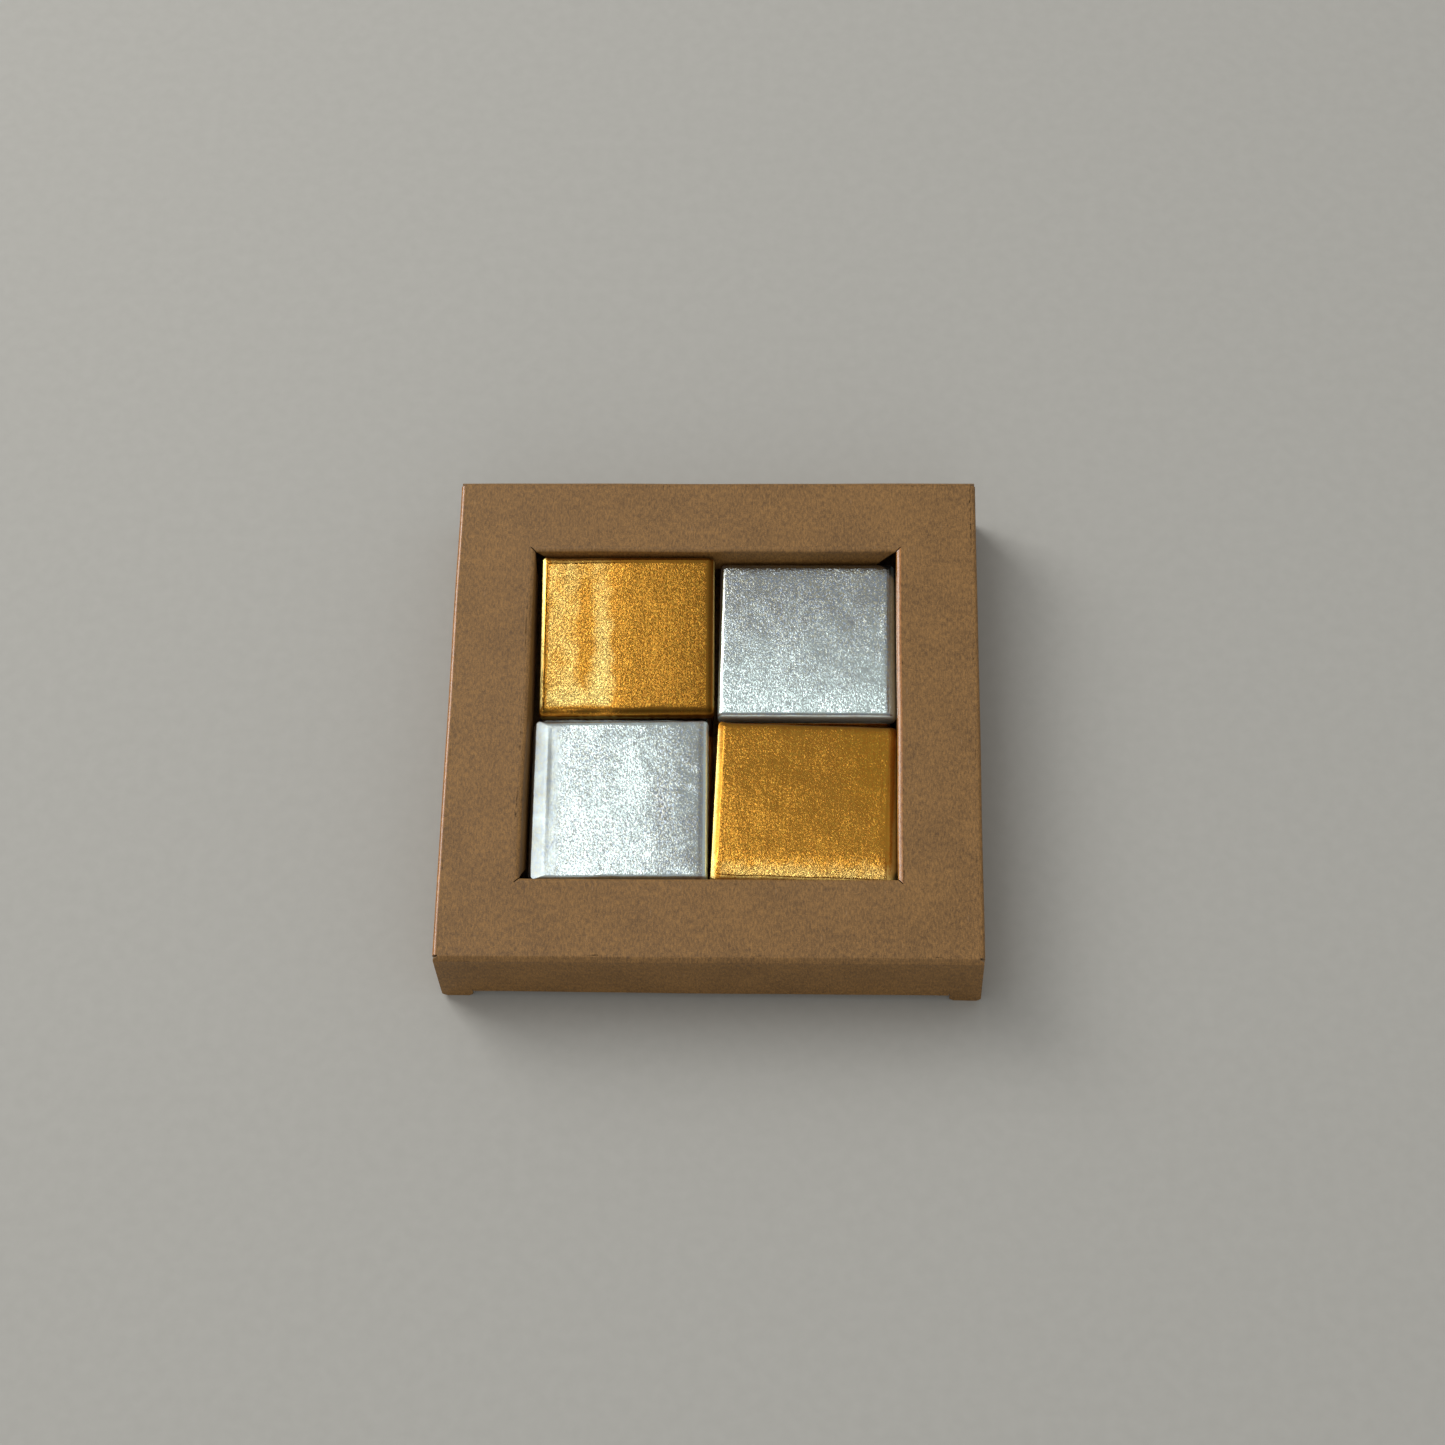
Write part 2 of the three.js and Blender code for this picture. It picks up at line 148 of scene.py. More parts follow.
def sine_waves(seed, count, shortest, longest, dims):
    """Wave vectors and phases whose wavelengths run from shortest to longest."""
    rng = np.random.default_rng(seed)
    direction = rng.normal(size=(count, dims))
    direction /= np.linalg.norm(direction, axis=1, keepdims=True)
    length = np.exp(rng.uniform(np.log(shortest), np.log(longest), size=(count, 1)))
    return direction * 2 * np.pi / length, rng.uniform(0, 2 * np.pi, size=count)


def wavy(points, waves):
    """About -1 to 1 at each point."""
    vectors, phases = waves
    return np.sin(points @ vectors.T + phases).sum(axis=1) / math.sqrt(len(phases))


BOARD_WAVES = [sine_waves(seed, 7, 22, 70, 3) for seed in (11, 12, 13)]
BOARD_WARP = (0.05, 0.05, 0.07)


def warped(points):
    """The board is never quite flat or straight. Neighbouring pieces share the warp, so they still meet."""
    moved = [wavy(points, waves) * size for waves, size in zip(BOARD_WAVES, BOARD_WARP)]
    return points + np.stack(moved, axis=1)


# Board pieces


def fold_path(start, heading, runs):
    """Rows along the outer face of a folded strip, seen in section: points, outward normals and distances.

    The outer face is on the left of the heading. A run is ("line", length, steps) or
    ("fold", degrees, radius).
    """
    point = np.array(start, float)
    angle = math.radians(heading)
    travelled = 0.0
    rows = [(point.copy(), angle, travelled, False)]
    for run in runs:
        if run[0] == "line":
            _, length, steps = run
            for _ in range(steps):
                point = point + length / steps * np.array([math.cos(angle), math.sin(angle)])
                travelled += length / steps
                rows.append((point.copy(), angle, travelled, False))
        else:
            _, degrees, radius = run
            turn = math.radians(degrees) / ARC_STEPS
            centre = point - radius * np.array([-math.sin(angle), math.cos(angle)])
            for _ in range(ARC_STEPS):
                angle -= turn
                travelled += radius * turn
                point = centre + radius * np.array([-math.sin(angle), math.cos(angle)])
                rows.append((point.copy(), angle, travelled, True))
    points = np.array([row[0] for row in rows])
    normals = np.array([[-math.sin(row[1]), math.cos(row[1])] for row in rows])
    folded = np.array([row[3] for row in rows], float)
    return points, normals, np.array([row[2] for row in rows]), folded


def board_object(name, outer, normal, sheet, present, folded):
    """A sheet of board on a grid of rows and columns; present says which cells are there.

    outer and normal are (rows, columns, 3), sheet is (rows, columns, 2): the place on the unfolded board.
    folded says which rows are on a fold.
    """
    rows, columns = outer.shape[:2]
    inner = outer - BOARD * normal
    places = warped(np.concatenate([outer.reshape(-1, 3), inner.reshape(-1, 3)]))
    count = rows * columns
    faces = []
    looks = []

    def index(i, j):
        return i * columns + j

    def side(a, b):
        faces.append((a, b, b + count, a + count))
        looks.append(1)

    corner = outer[1, 0] - outer[0, 0], outer[0, 1] - outer[0, 0]
    outward = float(np.dot(np.cross(*corner), normal[0, 0])) > 0
    for i in range(rows - 1):
        for j in range(columns - 1):
            if not present[i, j]:
                continue
            a, b = index(i, j), index(i + 1, j)
            c, d = index(i + 1, j + 1), index(i, j + 1)
            faces.append((a, b, c, d) if outward else (d, c, b, a))
            faces.append(tuple(k + count for k in ((d, c, b, a) if outward else (a, b, c, d))))
            looks += [2 if folded[i] or folded[i + 1] else 0, 0]
            edges = (
                ((a, b), j == 0 or not present[i, j - 1]),
                ((b, c), i == rows - 2 or not present[i + 1, j]),
                ((c, d), j == columns - 2 or not present[i, j + 1]),
                ((d, a), i == 0 or not present[i - 1, j]),
            )
            for (start, end), is_open in edges:
                if is_open and outward:
                    side(end, start)
                elif is_open:
                    side(start, end)
    mesh = bpy.data.meshes.new(name)
    mesh.from_pydata([tuple(p * MM) for p in places], [], faces)
    coordinates = np.zeros((2 * count, 3), np.float32)
    coordinates[:count, :2] = sheet.reshape(-1, 2)
    coordinates[count:, :2] = sheet.reshape(-1, 2)
    coordinates[count:, 2] = INSIDE_SHEET
    add_attribute(mesh, "sheet", coordinates)
    worn = np.zeros(2 * count)
    worn[:count] = np.repeat(folded, columns)
    add_attribute(mesh, "fold", worn)
    mesh.polygons.foreach_set("material_index", looks)
    mesh.polygons.foreach_set("use_smooth", [True] * len(faces))
    mesh.materials.append(KRAFT)
    mesh.materials.append(KRAFT_EDGE)
    # Slot 2 holds the fold faces. On the folds that face the lamps it is a glossier kraft painted lighter,
    # as a painted highlight.
    mesh.materials.append(KRAFT_FOLD_PAINTED_HIGHLIGHT if name in POLISHED_AND_PAINTED_LIT_FOLDS else KRAFT)
    mesh.update()
    obj = linked_object(name, mesh)
    remove_loose(mesh)
    mesh.set_sharp_from_angle(angle=math.radians(SHARP_EDGE))
    return obj


def add_attribute(mesh, name, values):
    """Stores a number or a vector for each point of a mesh, for its material to read."""
    is_vector = values.ndim == 2
    attribute = mesh.attributes.new(name, "FLOAT_VECTOR" if is_vector else "FLOAT", "POINT")
    attribute.data.foreach_set("vector" if is_vector else "value", values.astype(np.float32).ravel())


def linked_object(name, data):
    obj = bpy.data.objects.new(name, data)
    bpy.context.scene.collection.objects.link(obj)
    return obj


def stand_for(piece, node, body):
    """The piece replaces its CAD node and moves with its body."""
    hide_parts(node)
    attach(piece, body)


def remove_loose(mesh):
    """Deletes the grid points that no face uses."""
    edit = bmesh.new()
    edit.from_mesh(mesh)
    bmesh.ops.delete(edit, geom=[v for v in edit.verts if not v.link_faces], context="VERTS")
    edit.to_mesh(mesh)
    edit.free()


def folded_piece(
    name, path, along, up, across, reach, sheet_start, sheet_along,
    origin=(0, 0, 0), present=None, leaning=None,
):
    """A folded strip. reach gives each row's columns; the section lies in the plane of along and up.

    leaning moves each point along, away from the section.
    """
    points, normals, travelled, folded = path
    rows, columns = reach.shape
    origin = np.array(origin, float)
    outer = (
        origin
        + points[:, 0, None, None] * along
        + points[:, 1, None, None] * up
        + reach[:, :, None] * across
    )
    if leaning is not None:
        outer = outer + leaning[:, :, None] * along
    normal = normals[:, 0, None, None] * along + normals[:, 1, None, None] * up
    normal = np.broadcast_to(normal, outer.shape)
    sheet = (
        (sheet_start + travelled)[:, None, None] * sheet_along[:2]
        + reach[:, :, None] * np.abs(across[:2])
    )
    if abs(across[2]) > 0:
        sheet = (
            (sheet_start + travelled)[:, None, None] * np.array([0.0, sheet_along[1]])
            + reach[:, :, None] * np.array([1.0, 0.0])
        )
    if present is None:
        present = np.ones((rows - 1, columns - 1), bool)
    return board_object(name, outer, normal, sheet, present, folded)


def even_columns(ends, count):
    """Columns spread evenly between minus and plus each row's end."""
    return np.asarray(ends, float)[:, None] * np.linspace(-1, 1, count)[None, :]


def quadratic(start, control, end, count):
    """Points along a quadratic curve."""
    t = np.linspace(0, 1, count)[:, None]
    start, control, end = (np.array(p, float) for p in (start, control, end))
    return (1 - t) ** 2 * start + 2 * t * (1 - t) * control + t**2 * end


def top_panel():
    """The flat frame round the window, up to where the folds start."""
    reach_x, reach_y = WINDOW_HALF_X + SOFT_REACH, WINDOW_HALF_Y + SOFT_REACH
    hole_x = (WINDOW_SHIFT[0] - reach_x, WINDOW_SHIFT[0] + reach_x)
    hole_y = (WINDOW_SHIFT[1] - reach_y, WINDOW_SHIFT[1] + reach_y)
    x = lines(-TOP_FLAT_HALF, hole_x[0], STRIP_STEPS, hole_x[1], WINDOW_STEPS, TOP_FLAT_HALF, STRIP_STEPS)
    y = lines(-TOP_FLAT_HALF, hole_y[0], STRIP_STEPS, hole_y[1], WINDOW_STEPS, TOP_FLAT_HALF, STRIP_STEPS)
    outer = np.zeros((len(x), len(y), 3))
    outer[:, :, 0] = x[:, None]
    outer[:, :, 1] = y[None, :]
    outer[:, :, 2] = BOX_HEIGHT
    normal = np.broadcast_to(Z, outer.shape)
    mid_x = (x[1:] + x[:-1]) / 2
    mid_y = (y[1:] + y[:-1]) / 2
    inside_x = (mid_x > hole_x[0]) & (mid_x < hole_x[1])
    inside_y = (mid_y > hole_y[0]) & (mid_y < hole_y[1])
    present = ~(inside_x[:, None] & inside_y[None, :])
    piece = board_object("top_panel_board", outer, normal, outer[:, :, :2], present, np.zeros(len(x)))
    stand_for(piece, "top_panel", "carton")


def lines(start, *stops):
    """Grid lines from start through each stop, given as (place, steps) pairs laid end to end."""
    found = [start]
    for place, steps in zip(stops[::2], stops[1::2]):
        found += list(np.linspace(found[-1], place, steps + 1)[1:])
    return np.array(found)


def finish_flap(piece, node):
    """A flap stands for its CAD node; its placing is baked into its points."""
    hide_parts(node)
    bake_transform(piece)


def window_flap(side, out, across, lean=(0.0, 0.0)):
    """A flap folded down from the window's edge, with its corners cut away in a curve.

    lean is how far the free edge stands in from upright at the two ends of the flap.
    """
    distance = WINDOW_HALF_X if out[0] else WINDOW_HALF_Y
    half_length = WINDOW_HALF_Y if out[0] else WINDOW_HALF_X
    curve_start = SOFT_DROP
    start = -distance - SOFT_REACH - LEAD
    length = WINDOW_FLAP_LENGTH - curve_start
    path = fold_path((start, BOX_HEIGHT), 0, [("line", LEAD, 1), *TOP_FOLD, ("line", length, 12)])
    points = path[0]
    curve = quadratic(
        (curve_start, 2 * WINDOW_SLIT),
        (0.45 * WINDOW_FLAP_LENGTH, 0.5 * WINDOW_FLAP_CORNER),
        (WINDOW_FLAP_LENGTH, WINDOW_FLAP_CORNER),
        30,
    )
    depth = BOX_HEIGHT - points[:, 1]
    beside = -points[:, 0] - distance
    ends = half_length - WINDOW_SLIT + np.minimum(beside, SOFT_REACH)
    hanging = depth >= curve_start - TINY
    ends[hanging] = half_length - np.interp(depth[hanging], curve[:, 0], curve[:, 1])
    origin = WINDOW_SHIFT[0] * X + WINDOW_SHIFT[1] * Y
    reach = even_columns(ends, 30)
    share = (reach / half_length + 1) / 2
    leaning = (lean[0] * (1 - share) + lean[1] * share) * np.clip(depth / WINDOW_FLAP_LENGTH, 0, 1)[:, None]
    node = f"window_flap_{side}"
    piece = folded_piece(
        f"{node}_board", path, -out, Z, across, reach, start, -out, origin, leaning=leaning
    )
    finish_flap(piece, node)


def side_wall(side, out, low):
    """A side wall with the folds above and below it."""
    runs = [
        ("line", LEAD, 1),
        *OUTER_FOLD,
        ("line", BOX_HEIGHT - low - 2 * FOLD_RADIUS, 8),
        ("fold", 90, FOLD_RADIUS),
        ("line", LEAD, 1),
    ]
    path = fold_path((TOP_FLAT_HALF - LEAD, BOX_HEIGHT), 0, runs)
    points = path[0]
    ends = np.full(len(points), WALL_HALF)
    ends[points[:, 1] > DUST_HIGH] = TOP_FLAT_HALF - WALL_HEM
    piece = folded_piece(
        f"{side}_wall_board", path, out, Z, Y, even_columns(ends, 50), TOP_FLAT_HALF - LEAD, out
    )
    stand_for(piece, f"{side}_wall", "carton")


def bottom_panel():
    """The bottom hangs on the right wall and reaches under the left one."""
    width = FLAT_HALF + BOTTOM_EDGE - LEAD
    path = fold_path((FLAT_HALF - LEAD, 0), 180, [("line", width, 50)])
    ends = np.full(len(path[0]), BOTTOM_HALF)
    piece = folded_piece(
        "bottom_panel_board", path, X, Z, Y, even_columns(ends, 50), BOX_HALF + BOX_HEIGHT, X
    )
    stand_for(piece, "bottom_panel", "carton")


def glue_flap():
    """The glue flap hangs on the left wall and lies on the bottom panel."""
    length = GLUE_FLAP_WIDTH - FOLD_RADIUS - LEAD
    path = fold_path((FLAT_HALF - LEAD, BOARD), 180, [("line", length, 8)])
    distance = BOX_HALF - path[0][:, 0]
    taper = GLUE_FLAP_TAPER * (distance - FOLD_RADIUS) / (GLUE_FLAP_WIDTH - FOLD_RADIUS)
    piece = folded_piece(
        "glue_flap_board", path, -X, Z, Y, even_columns(WALL_HALF - taper, 40), BOX_HALF + BOX_HEIGHT, -X
    )
    stand_for(piece, "glue_flap", "carton")


def fold_tangent():
    """How far the closure's lower fold reaches along each of its panels."""
    return FOLD_RADIUS / math.tan(math.radians(90 - TUCK_RISE) / 2)


def closure_lean(reach, height, lean):
    """How far a closure stands out from upright, from its left end to its right end."""
    share = np.clip(reach / BOX_HALF + 1, 0, 2) / 2
    drop = np.clip((BOX_HEIGHT - height) / BOX_HEIGHT, 0, 1)
    return (lean[0] * (1 - share) + lean[1] * share) * drop[:, None]


def closure(end, out, lean):
    """A closure with an ear at each end of its lower fold."""
    slit = CLOSURE_HALF_WIDTH - EAR_WIDTH
    fold_low = TUCK_CORNER + fold_tangent()
    runs = [
        ("line", LEAD, 1),
        *CLOSURE_FOLD,
        ("line", BOX_HEIGHT - CRUSH_DROP - SLIT_TOP, 9),
        ("line", SLIT_TOP - fold_low, 1),
        ("line", fold_low - EAR_GROUND_CLEARANCE - EAR_CHAMFER, 2),
        ("line", EAR_CHAMFER, 2),
    ]
    path = fold_path((TOP_FLAT_HALF - LEAD, BOX_HEIGHT), 0, runs)
    points = path[0]
    left_slit = (-slit, 4, EAR_SLIT - slit, 1)
    right_slit = (slit - EAR_SLIT, 44, slit, 1)
    column = lines(-CLOSURE_HALF_WIDTH, *left_slit, *right_slit, CLOSURE_HALF_WIDTH, 4)
    reach = np.tile(column, (len(points), 1))
    start_rows = points[:, 1] > BOX_HEIGHT - FOLD_RADIUS / 2
    reach[start_rows, 0] = -TOP_FLAT_HALF
    reach[start_rows, -1] = TOP_FLAT_HALF
    chamfer = np.clip(EAR_GROUND_CLEARANCE + EAR_CHAMFER - points[:, 1], 0, None)
    for first, last, inwards in ((0, 4, 1), (-5, -1, -1)):
        ear = slice(first, last + 1 or None)
        low, high = column[first], column[last]
        squeeze = (high - low - 2 * chamfer) / (high - low)
        middle = (low + high) / 2
        reach[:, ear] = np.where(
            chamfer[:, None] > 0,
            middle + (column[ear][None, :] - middle) * squeeze[:, None],
            reach[:, ear],
        )
    mid_rows = (points[1:, 1] + points[:-1, 1]) / 2
    mid_columns = (column[1:] + column[:-1]) / 2
    is_ear = np.abs(mid_columns) > slit
    is_slit = (np.abs(mid_columns) < slit) & (np.abs(mid_columns) > slit - EAR_SLIT)
    present = np.ones((len(mid_rows), len(mid_columns)), bool)
    present[np.ix_(mid_rows < SLIT_TOP, is_slit)] = False
    present[np.ix_(mid_rows < fold_low, ~is_ear)] = False
    piece = folded_piece(
        f"{end}_closure_board", path, out, Z, X, reach, TOP_FLAT_HALF - LEAD, out,
        present=present, leaning=closure_lean(reach, points[:, 1], lean),
    )
    finish_flap(piece, f"{end}_closure")


def tuck_flap(end, out, lean):
    """The closure's lower fold and the flap that slopes up into the box."""
    tangent = fold_tangent()
    straight = TUCK_LENGTH - tangent
    turn = 90 + TUCK_RISE
    runs = [("fold", turn, FOLD_RADIUS), ("line", straight, 12)]
    path = fold_path((BOX_HALF, TUCK_CORNER + tangent), -90, runs)
    along = path[2] - math.radians(turn) * FOLD_RADIUS + tangent
    half_width = CLOSURE_HALF_WIDTH - EAR_WIDTH - TUCK_SIDE_CLEARANCE
    curve = quadratic((TUCK_SHOULDER, 0), (TUCK_LENGTH, 0), (TUCK_LENGTH, TUCK_TAPER), 40)
    ends = half_width - np.interp(along, curve[:, 0], curve[:, 1], left=0.0)
    reach = even_columns(ends, 46)
    height = np.full(len(path[0]), TUCK_CORNER + tangent)
    node = f"{end}_tuck_flap"
    piece = folded_piece(
        f"{node}_board", path, out, Z, X, reach, BOX_HALF + BOX_HEIGHT - TUCK_CORNER, out,
        leaning=closure_lean(reach, height, lean),
    )
    finish_flap(piece, node)


def dust_flap(end, side, out, wall_out):
    """A dust flap behind a closure: full height at its crease, then slanted above and below."""
    runs = [
        ("line", LEAD, 1),
        ("fold", 90, FOLD_RADIUS),
        ("line", DUST_SHOULDER - FOLD_RADIUS, 3),
        ("line", DUST_JOG, 1),
        ("line", DUST_TAPER_END - DUST_SHOULDER - DUST_JOG, 6),
        ("line", DUST_LENGTH - DUST_TAPER_END - DUST_TIP_RADIUS, 4),
        ("line", DUST_TIP_RADIUS, 6),
    ]
    path = fold_path((WALL_HALF - LEAD, BOX_HALF), 0, runs)
    along = np.where(path[0][:, 0] > DUST_PLANE - TINY, BOX_HALF - path[0][:, 1], 0)
    corner = DUST_LENGTH - DUST_TIP_RADIUS
    stops = [0, DUST_SHOULDER, DUST_SHOULDER + DUST_JOG, DUST_TAPER_END, corner]
    round_off = DUST_TIP_RADIUS - np.sqrt(
        np.clip(DUST_TIP_RADIUS**2 - np.clip(along - corner, 0, None) ** 2, 0, None)
    )
    low = np.interp(along, stops, [DUST_LOW, DUST_LOW, DUST_STEP, DUST_TIP_LOW, DUST_TIP_LOW])
    high = np.interp(along, stops, [DUST_HIGH, DUST_HIGH, DUST_HIGH, DUST_TIP_HIGH, DUST_TIP_HIGH])
    low, high = low + round_off, high - round_off
    share = np.linspace(0, 1, 9)[None, :]
    reach = low[:, None] * (1 - share) + high[:, None] * share
    node = f"{end}_dust_flap_{side}"
    piece = folded_piece(f"{node}_board", path, out, wall_out, Z, reach, WALL_HALF - LEAD, out)
    finish_flap(piece, node)


# Foil squares

BEVEL_CRINKLE = 0.25  # the sloping edges are drawn smooth
SIDE_HEIGHT = 1.85  # the foil grows rougher from here down
SIDE_DROP = 0.6
SIDE_POINTS = 40
CORNER_POINTS = 6
TOP_RINGS = 26
BOTTOM_RINGS = 8
PLEAT_SIZE = 0.03
UNDER_FOLD = 0.05  # step between the folds under a square
SEED_SPACING = 10.0  # moves the foil's pattern on from one square to the next
LIP_END = 0.12  # where a gently sloping edge ends and the side begins
# Share of the bevel's width, height, and how much the edge dents and the side pleats count there
FOIL_PROFILE = (
    (1.00, 2.000, 1.0, 0.0),
    (0.92, 1.992, 1.0, 0.0),
    (0.80, 1.960, 0.9, 0.0),
    (0.66, 1.905, 0.8, 0.1),
    (0.54, 1.835, 0.7, 0.2),
    (0.42, 1.735, 0.6, 0.3),
    (0.32, 1.610, 0.5, 0.4),
    (0.23, 1.440, 0.4, 0.5),
    (0.15, 1.200, 0.3, 0.7),
    (0.08, 0.850, 0.2, 0.9),
    (0.03, 0.450, 0.1, 1.0),
    (0.00, 0.150, 0.1, 1.0),
    (0.00, -0.050, 0.1, 1.0),
    (0.06, -0.300, 0.1, 1.0),
    (0.10, -0.90, 0.1, 0.9),
    (0.16, -1.30, 0.2, 0.8),
    (0.36, -1.62, 0.3, 0.6),
    (0.68, -1.84, 0.3, 0.4),
    (1.00, -2.00, 0.2, 0.2),
)


def outline_ring(half_x, half_y, radius):
    """Points round a rectangle with rounded corners, the same number whatever its size."""
    found = []
    centres = [(1, -1), (1, 1), (-1, 1), (-1, -1)]
    for k, (sx, sy) in enumerate(centres):
        centre = np.array([sx * (half_x - radius), sy * (half_y - radius)])
        turns = math.radians(90 * k - 90) + np.linspace(0, math.pi / 2, CORNER_POINTS)
        arc = centre + radius * np.stack([np.cos(turns), np.sin(turns)], axis=1)
        next_centre = centres[(k + 1) % 4]
        start = math.radians(90 * k)
        to = np.array([next_centre[0] * (half_x - radius), next_centre[1] * (half_y - radius)])
        to = to + radius * np.array([math.cos(start), math.sin(start)])
        share = np.linspace(0, 1, SIDE_POINTS + 1)[1:-1, None]
        found += [arc, arc[-1] * (1 - share) + to * share]
    return np.concatenate(found)


def round_noise(seed, count, fewest, most, around):
    """Noise round the outline, from fewest to most waves in the whole round."""
    rng = np.random.default_rng(seed)
    waves = rng.integers(fewest, most, size=count)
    phases = rng.uniform(0, 2 * np.pi, size=count)
    return np.sin(around[:, None] * waves[None, :] + phases).sum(axis=1) / math.sqrt(count)


def crease_height(points, creases):
    """Sharp little valleys and ridges, each given as start, end, height and width."""
    height = np.zeros(len(points))
    for start, end, size, width in creases:
        start, end = np.array(start, float), np.array(end, float)
        run = end - start
        share = np.clip((points - start) @ run / (run @ run), 0, 1)
        distance = np.linalg.norm(points - start - share[:, None] * run, axis=1)
        ends = np.sin(np.pi * np.clip(share, 0.03, 0.97)) ** 0.5
        height += size * ends * np.clip(1 - distance / width, 0, None) ** 1.5
    return height


def smooth_step(values, low, high):
    share = np.clip((values - low) / (high - low), 0, 1)
    return share * share * (3 - 2 * share)


def banded(points, bands):
    """A level for each point: a plain one, changed across soft bands.

    The first entry is the plain level. A band is (direction in degrees, where it starts, where it is full,
    the factor there), with the places given as shares of half the square's width.
    """
    found = np.full(len(points), float(bands[0]))
    for angle, start, end, factor in bands[1:]:
        turn = math.radians(angle)
        place = (points[:, 0] * math.cos(turn) + points[:, 1] * math.sin(turn)) / PIECE_HALF_X
        found *= 1 - (1 - factor) * smooth_step(place, start, end)
    return found


def patched(points, patches):
    """A factor for each point, from soft oval patches: x, y, half width, half depth, the factor there."""
    found = np.ones(len(points))
    for x, y, half_x, half_y, factor in patches:
        distance = ((points[:, 0] - x) / half_x) ** 2 + ((points[:, 1] - y) / half_y) ** 2
        found *= 1 - (1 - factor) * np.exp(-distance)
    return found


def near_edge(place):
    """Rises from 0 to 1 over the last tenth of the way from the middle to an edge."""
    return np.clip(20 * place - 18, 0, 1)


def bowed(points, look):
    """How far the top has sunk at each point, more towards the edges."""
    u, v = points[:, 0] / PIECE_HALF_X, points[:, 1] / PIECE_HALF_Y
    return look["bow"][0] * u**2 + look["bow"][1] * v**2


def corner_shares(plan):
    """How much each corner counts at each point of the outline, from the front left one round."""
    beside, ahead = (plan[:, 0] + 1) / 2, (plan[:, 1] + 1) / 2
    front = [(1 - beside) * (1 - ahead), beside * (1 - ahead)]
    back = [beside * ahead, (1 - beside) * ahead]
    return np.stack(front + back, axis=1)


def inset_outline(look, plan, inset):
    """The square's outline, moved in by a share of the bevel's width on each side."""
    ring = outline_ring(PIECE_HALF_X, PIECE_HALF_Y, 0.3 + 0.5 * max(0.0, 1 - inset))
    for axis, half in enumerate((PIECE_HALF_X, PIECE_HALF_Y)):
        low_width, high_width = look["bevel"][2 * axis : 2 * axis + 2]
        share = smooth_step(plan[:, axis], -1.0, 1.0)
        ring[:, axis] *= 1 - inset * (low_width * (1 - share) + high_width * share) / half
    return ring


def sloped(look, plan, inset, height):
    """The heights of a ring, changed on the sides whose bevel is a gentle slope."""
    for side, slope in enumerate(look["slope"]):
        axis, sign = side // 2, 2 * (side % 2) - 1
        reach = look["bevel"][side] + sign * np.array(look["stretch"])[:, axis].mean()
        near = near_edge(sign * plan[:, axis]) * (slope > 0)
        height = height + near * (PIECE_HALF_Z - slope * reach * (1 - inset) - height)
    return height


def foil_edge(look, plan):
    """Rings from the edge of the flat top, over the bevel and down the side to the underside."""
    seed = look["seed"]
    steps = np.linalg.norm(np.roll(plan, -1, axis=0) - plan, axis=1)
    around = 2 * np.pi * np.concatenate([[0], np.cumsum(steps)[:-1]]) / steps.sum()
    dents = round_noise(seed, 7, 5, 20, around)
    drops = round_noise(seed + 1, 7, 5, 22, around)
    pleats = round_noise(seed + 2, 14, 30, 95, around)
    size = look["dent"] + look["front_dent"] * near_edge(-plan[:, 1])
    shifts = corner_shares(plan) @ np.array(look["stretch"])
    rings = []
    for inset, level, dent, pleat in FOIL_PROFILE:
        ring = inset_outline(look, plan, inset) + (1 - inset) * shifts
        inwards = np.clip(dent * size * dents + pleat * PLEAT_SIZE * pleats, -inset, None)
        ring = ring * (1 - inwards[:, None] / np.array([PIECE_HALF_X, PIECE_HALF_Y]))
        height = np.full(len(ring), level)
        if inset > LIP_END and level > 0:
            height = sloped(look, plan, inset, height)
        sunk = bowed(ring, look) * np.clip(height / PIECE_HALF_Z, 0, 1)
        rings.append(np.column_stack([ring, height - dent * size * (0.5 + 0.6 * drops) - sunk]))
    return rings


def foil_top(look, edge):
    """Rings from the middle of the top out to its edge, with its ripples, tilt and creases."""
    edge_drop = edge[:, 2] + bowed(edge, look) - PIECE_HALF_Z
    ripples = sine_waves(look["seed"] + 3, 9, 5, 16, 2)
    tilt_x, tilt_y = look["tilt"]
    rings = []
    for k in range(1, TOP_RINGS + 1):
        share = (k / (TOP_RINGS + 1)) ** 0.85
        points = edge[:, :2] * share
        u, v = points[:, 0] / PIECE_HALF_X, points[:, 1] / PIECE_HALF_Y
        fade = (1 - u**4) * (1 - v**4)
        height = PIECE_HALF_Z + edge_drop * max(0.0, share * 4 - 3) ** 2
        height += fade * (look["ripple"] * wavy(points, ripples))
        height += (tilt_x * u + tilt_y * v) * fade
        height -= bowed(points, look)
        height += crease_height(points, look["creases"])
        rings.append(np.column_stack([points, height]))
    return rings


def foil_bottom(edge):
    """Rings from the edge of the underside in to its middle, where two sides are folded over two."""
    rings = []
    for k in range(BOTTOM_RINGS, 0, -1):
        ring = edge.copy()
        ring[:, :2] *= k / (BOTTOM_RINGS + 1)
        is_over = np.abs(ring[:, 0]) > np.abs(ring[:, 1])
        ring[:, 2] = -PIECE_HALF_Z + UNDER_FOLD * is_over.astype(float)
        rings.append(ring)
    return rings


def ring_faces(ring_count, count):
    """Faces of a closed form made of a middle point, rings of count points, and a middle point."""
    faces = []
    for k in range(ring_count - 1):
        for j in range(count):
            a, b = 1 + k * count + j, 1 + k * count + (j + 1) % count
            faces.append((a, a + count, b + count, b))
    last = 1 + (ring_count - 1) * count
    for j in range(count):
        after = (j + 1) % count
        faces.append((0, 1 + j, 1 + after))
        faces.append((last + count, last + after, last + j))
    return faces


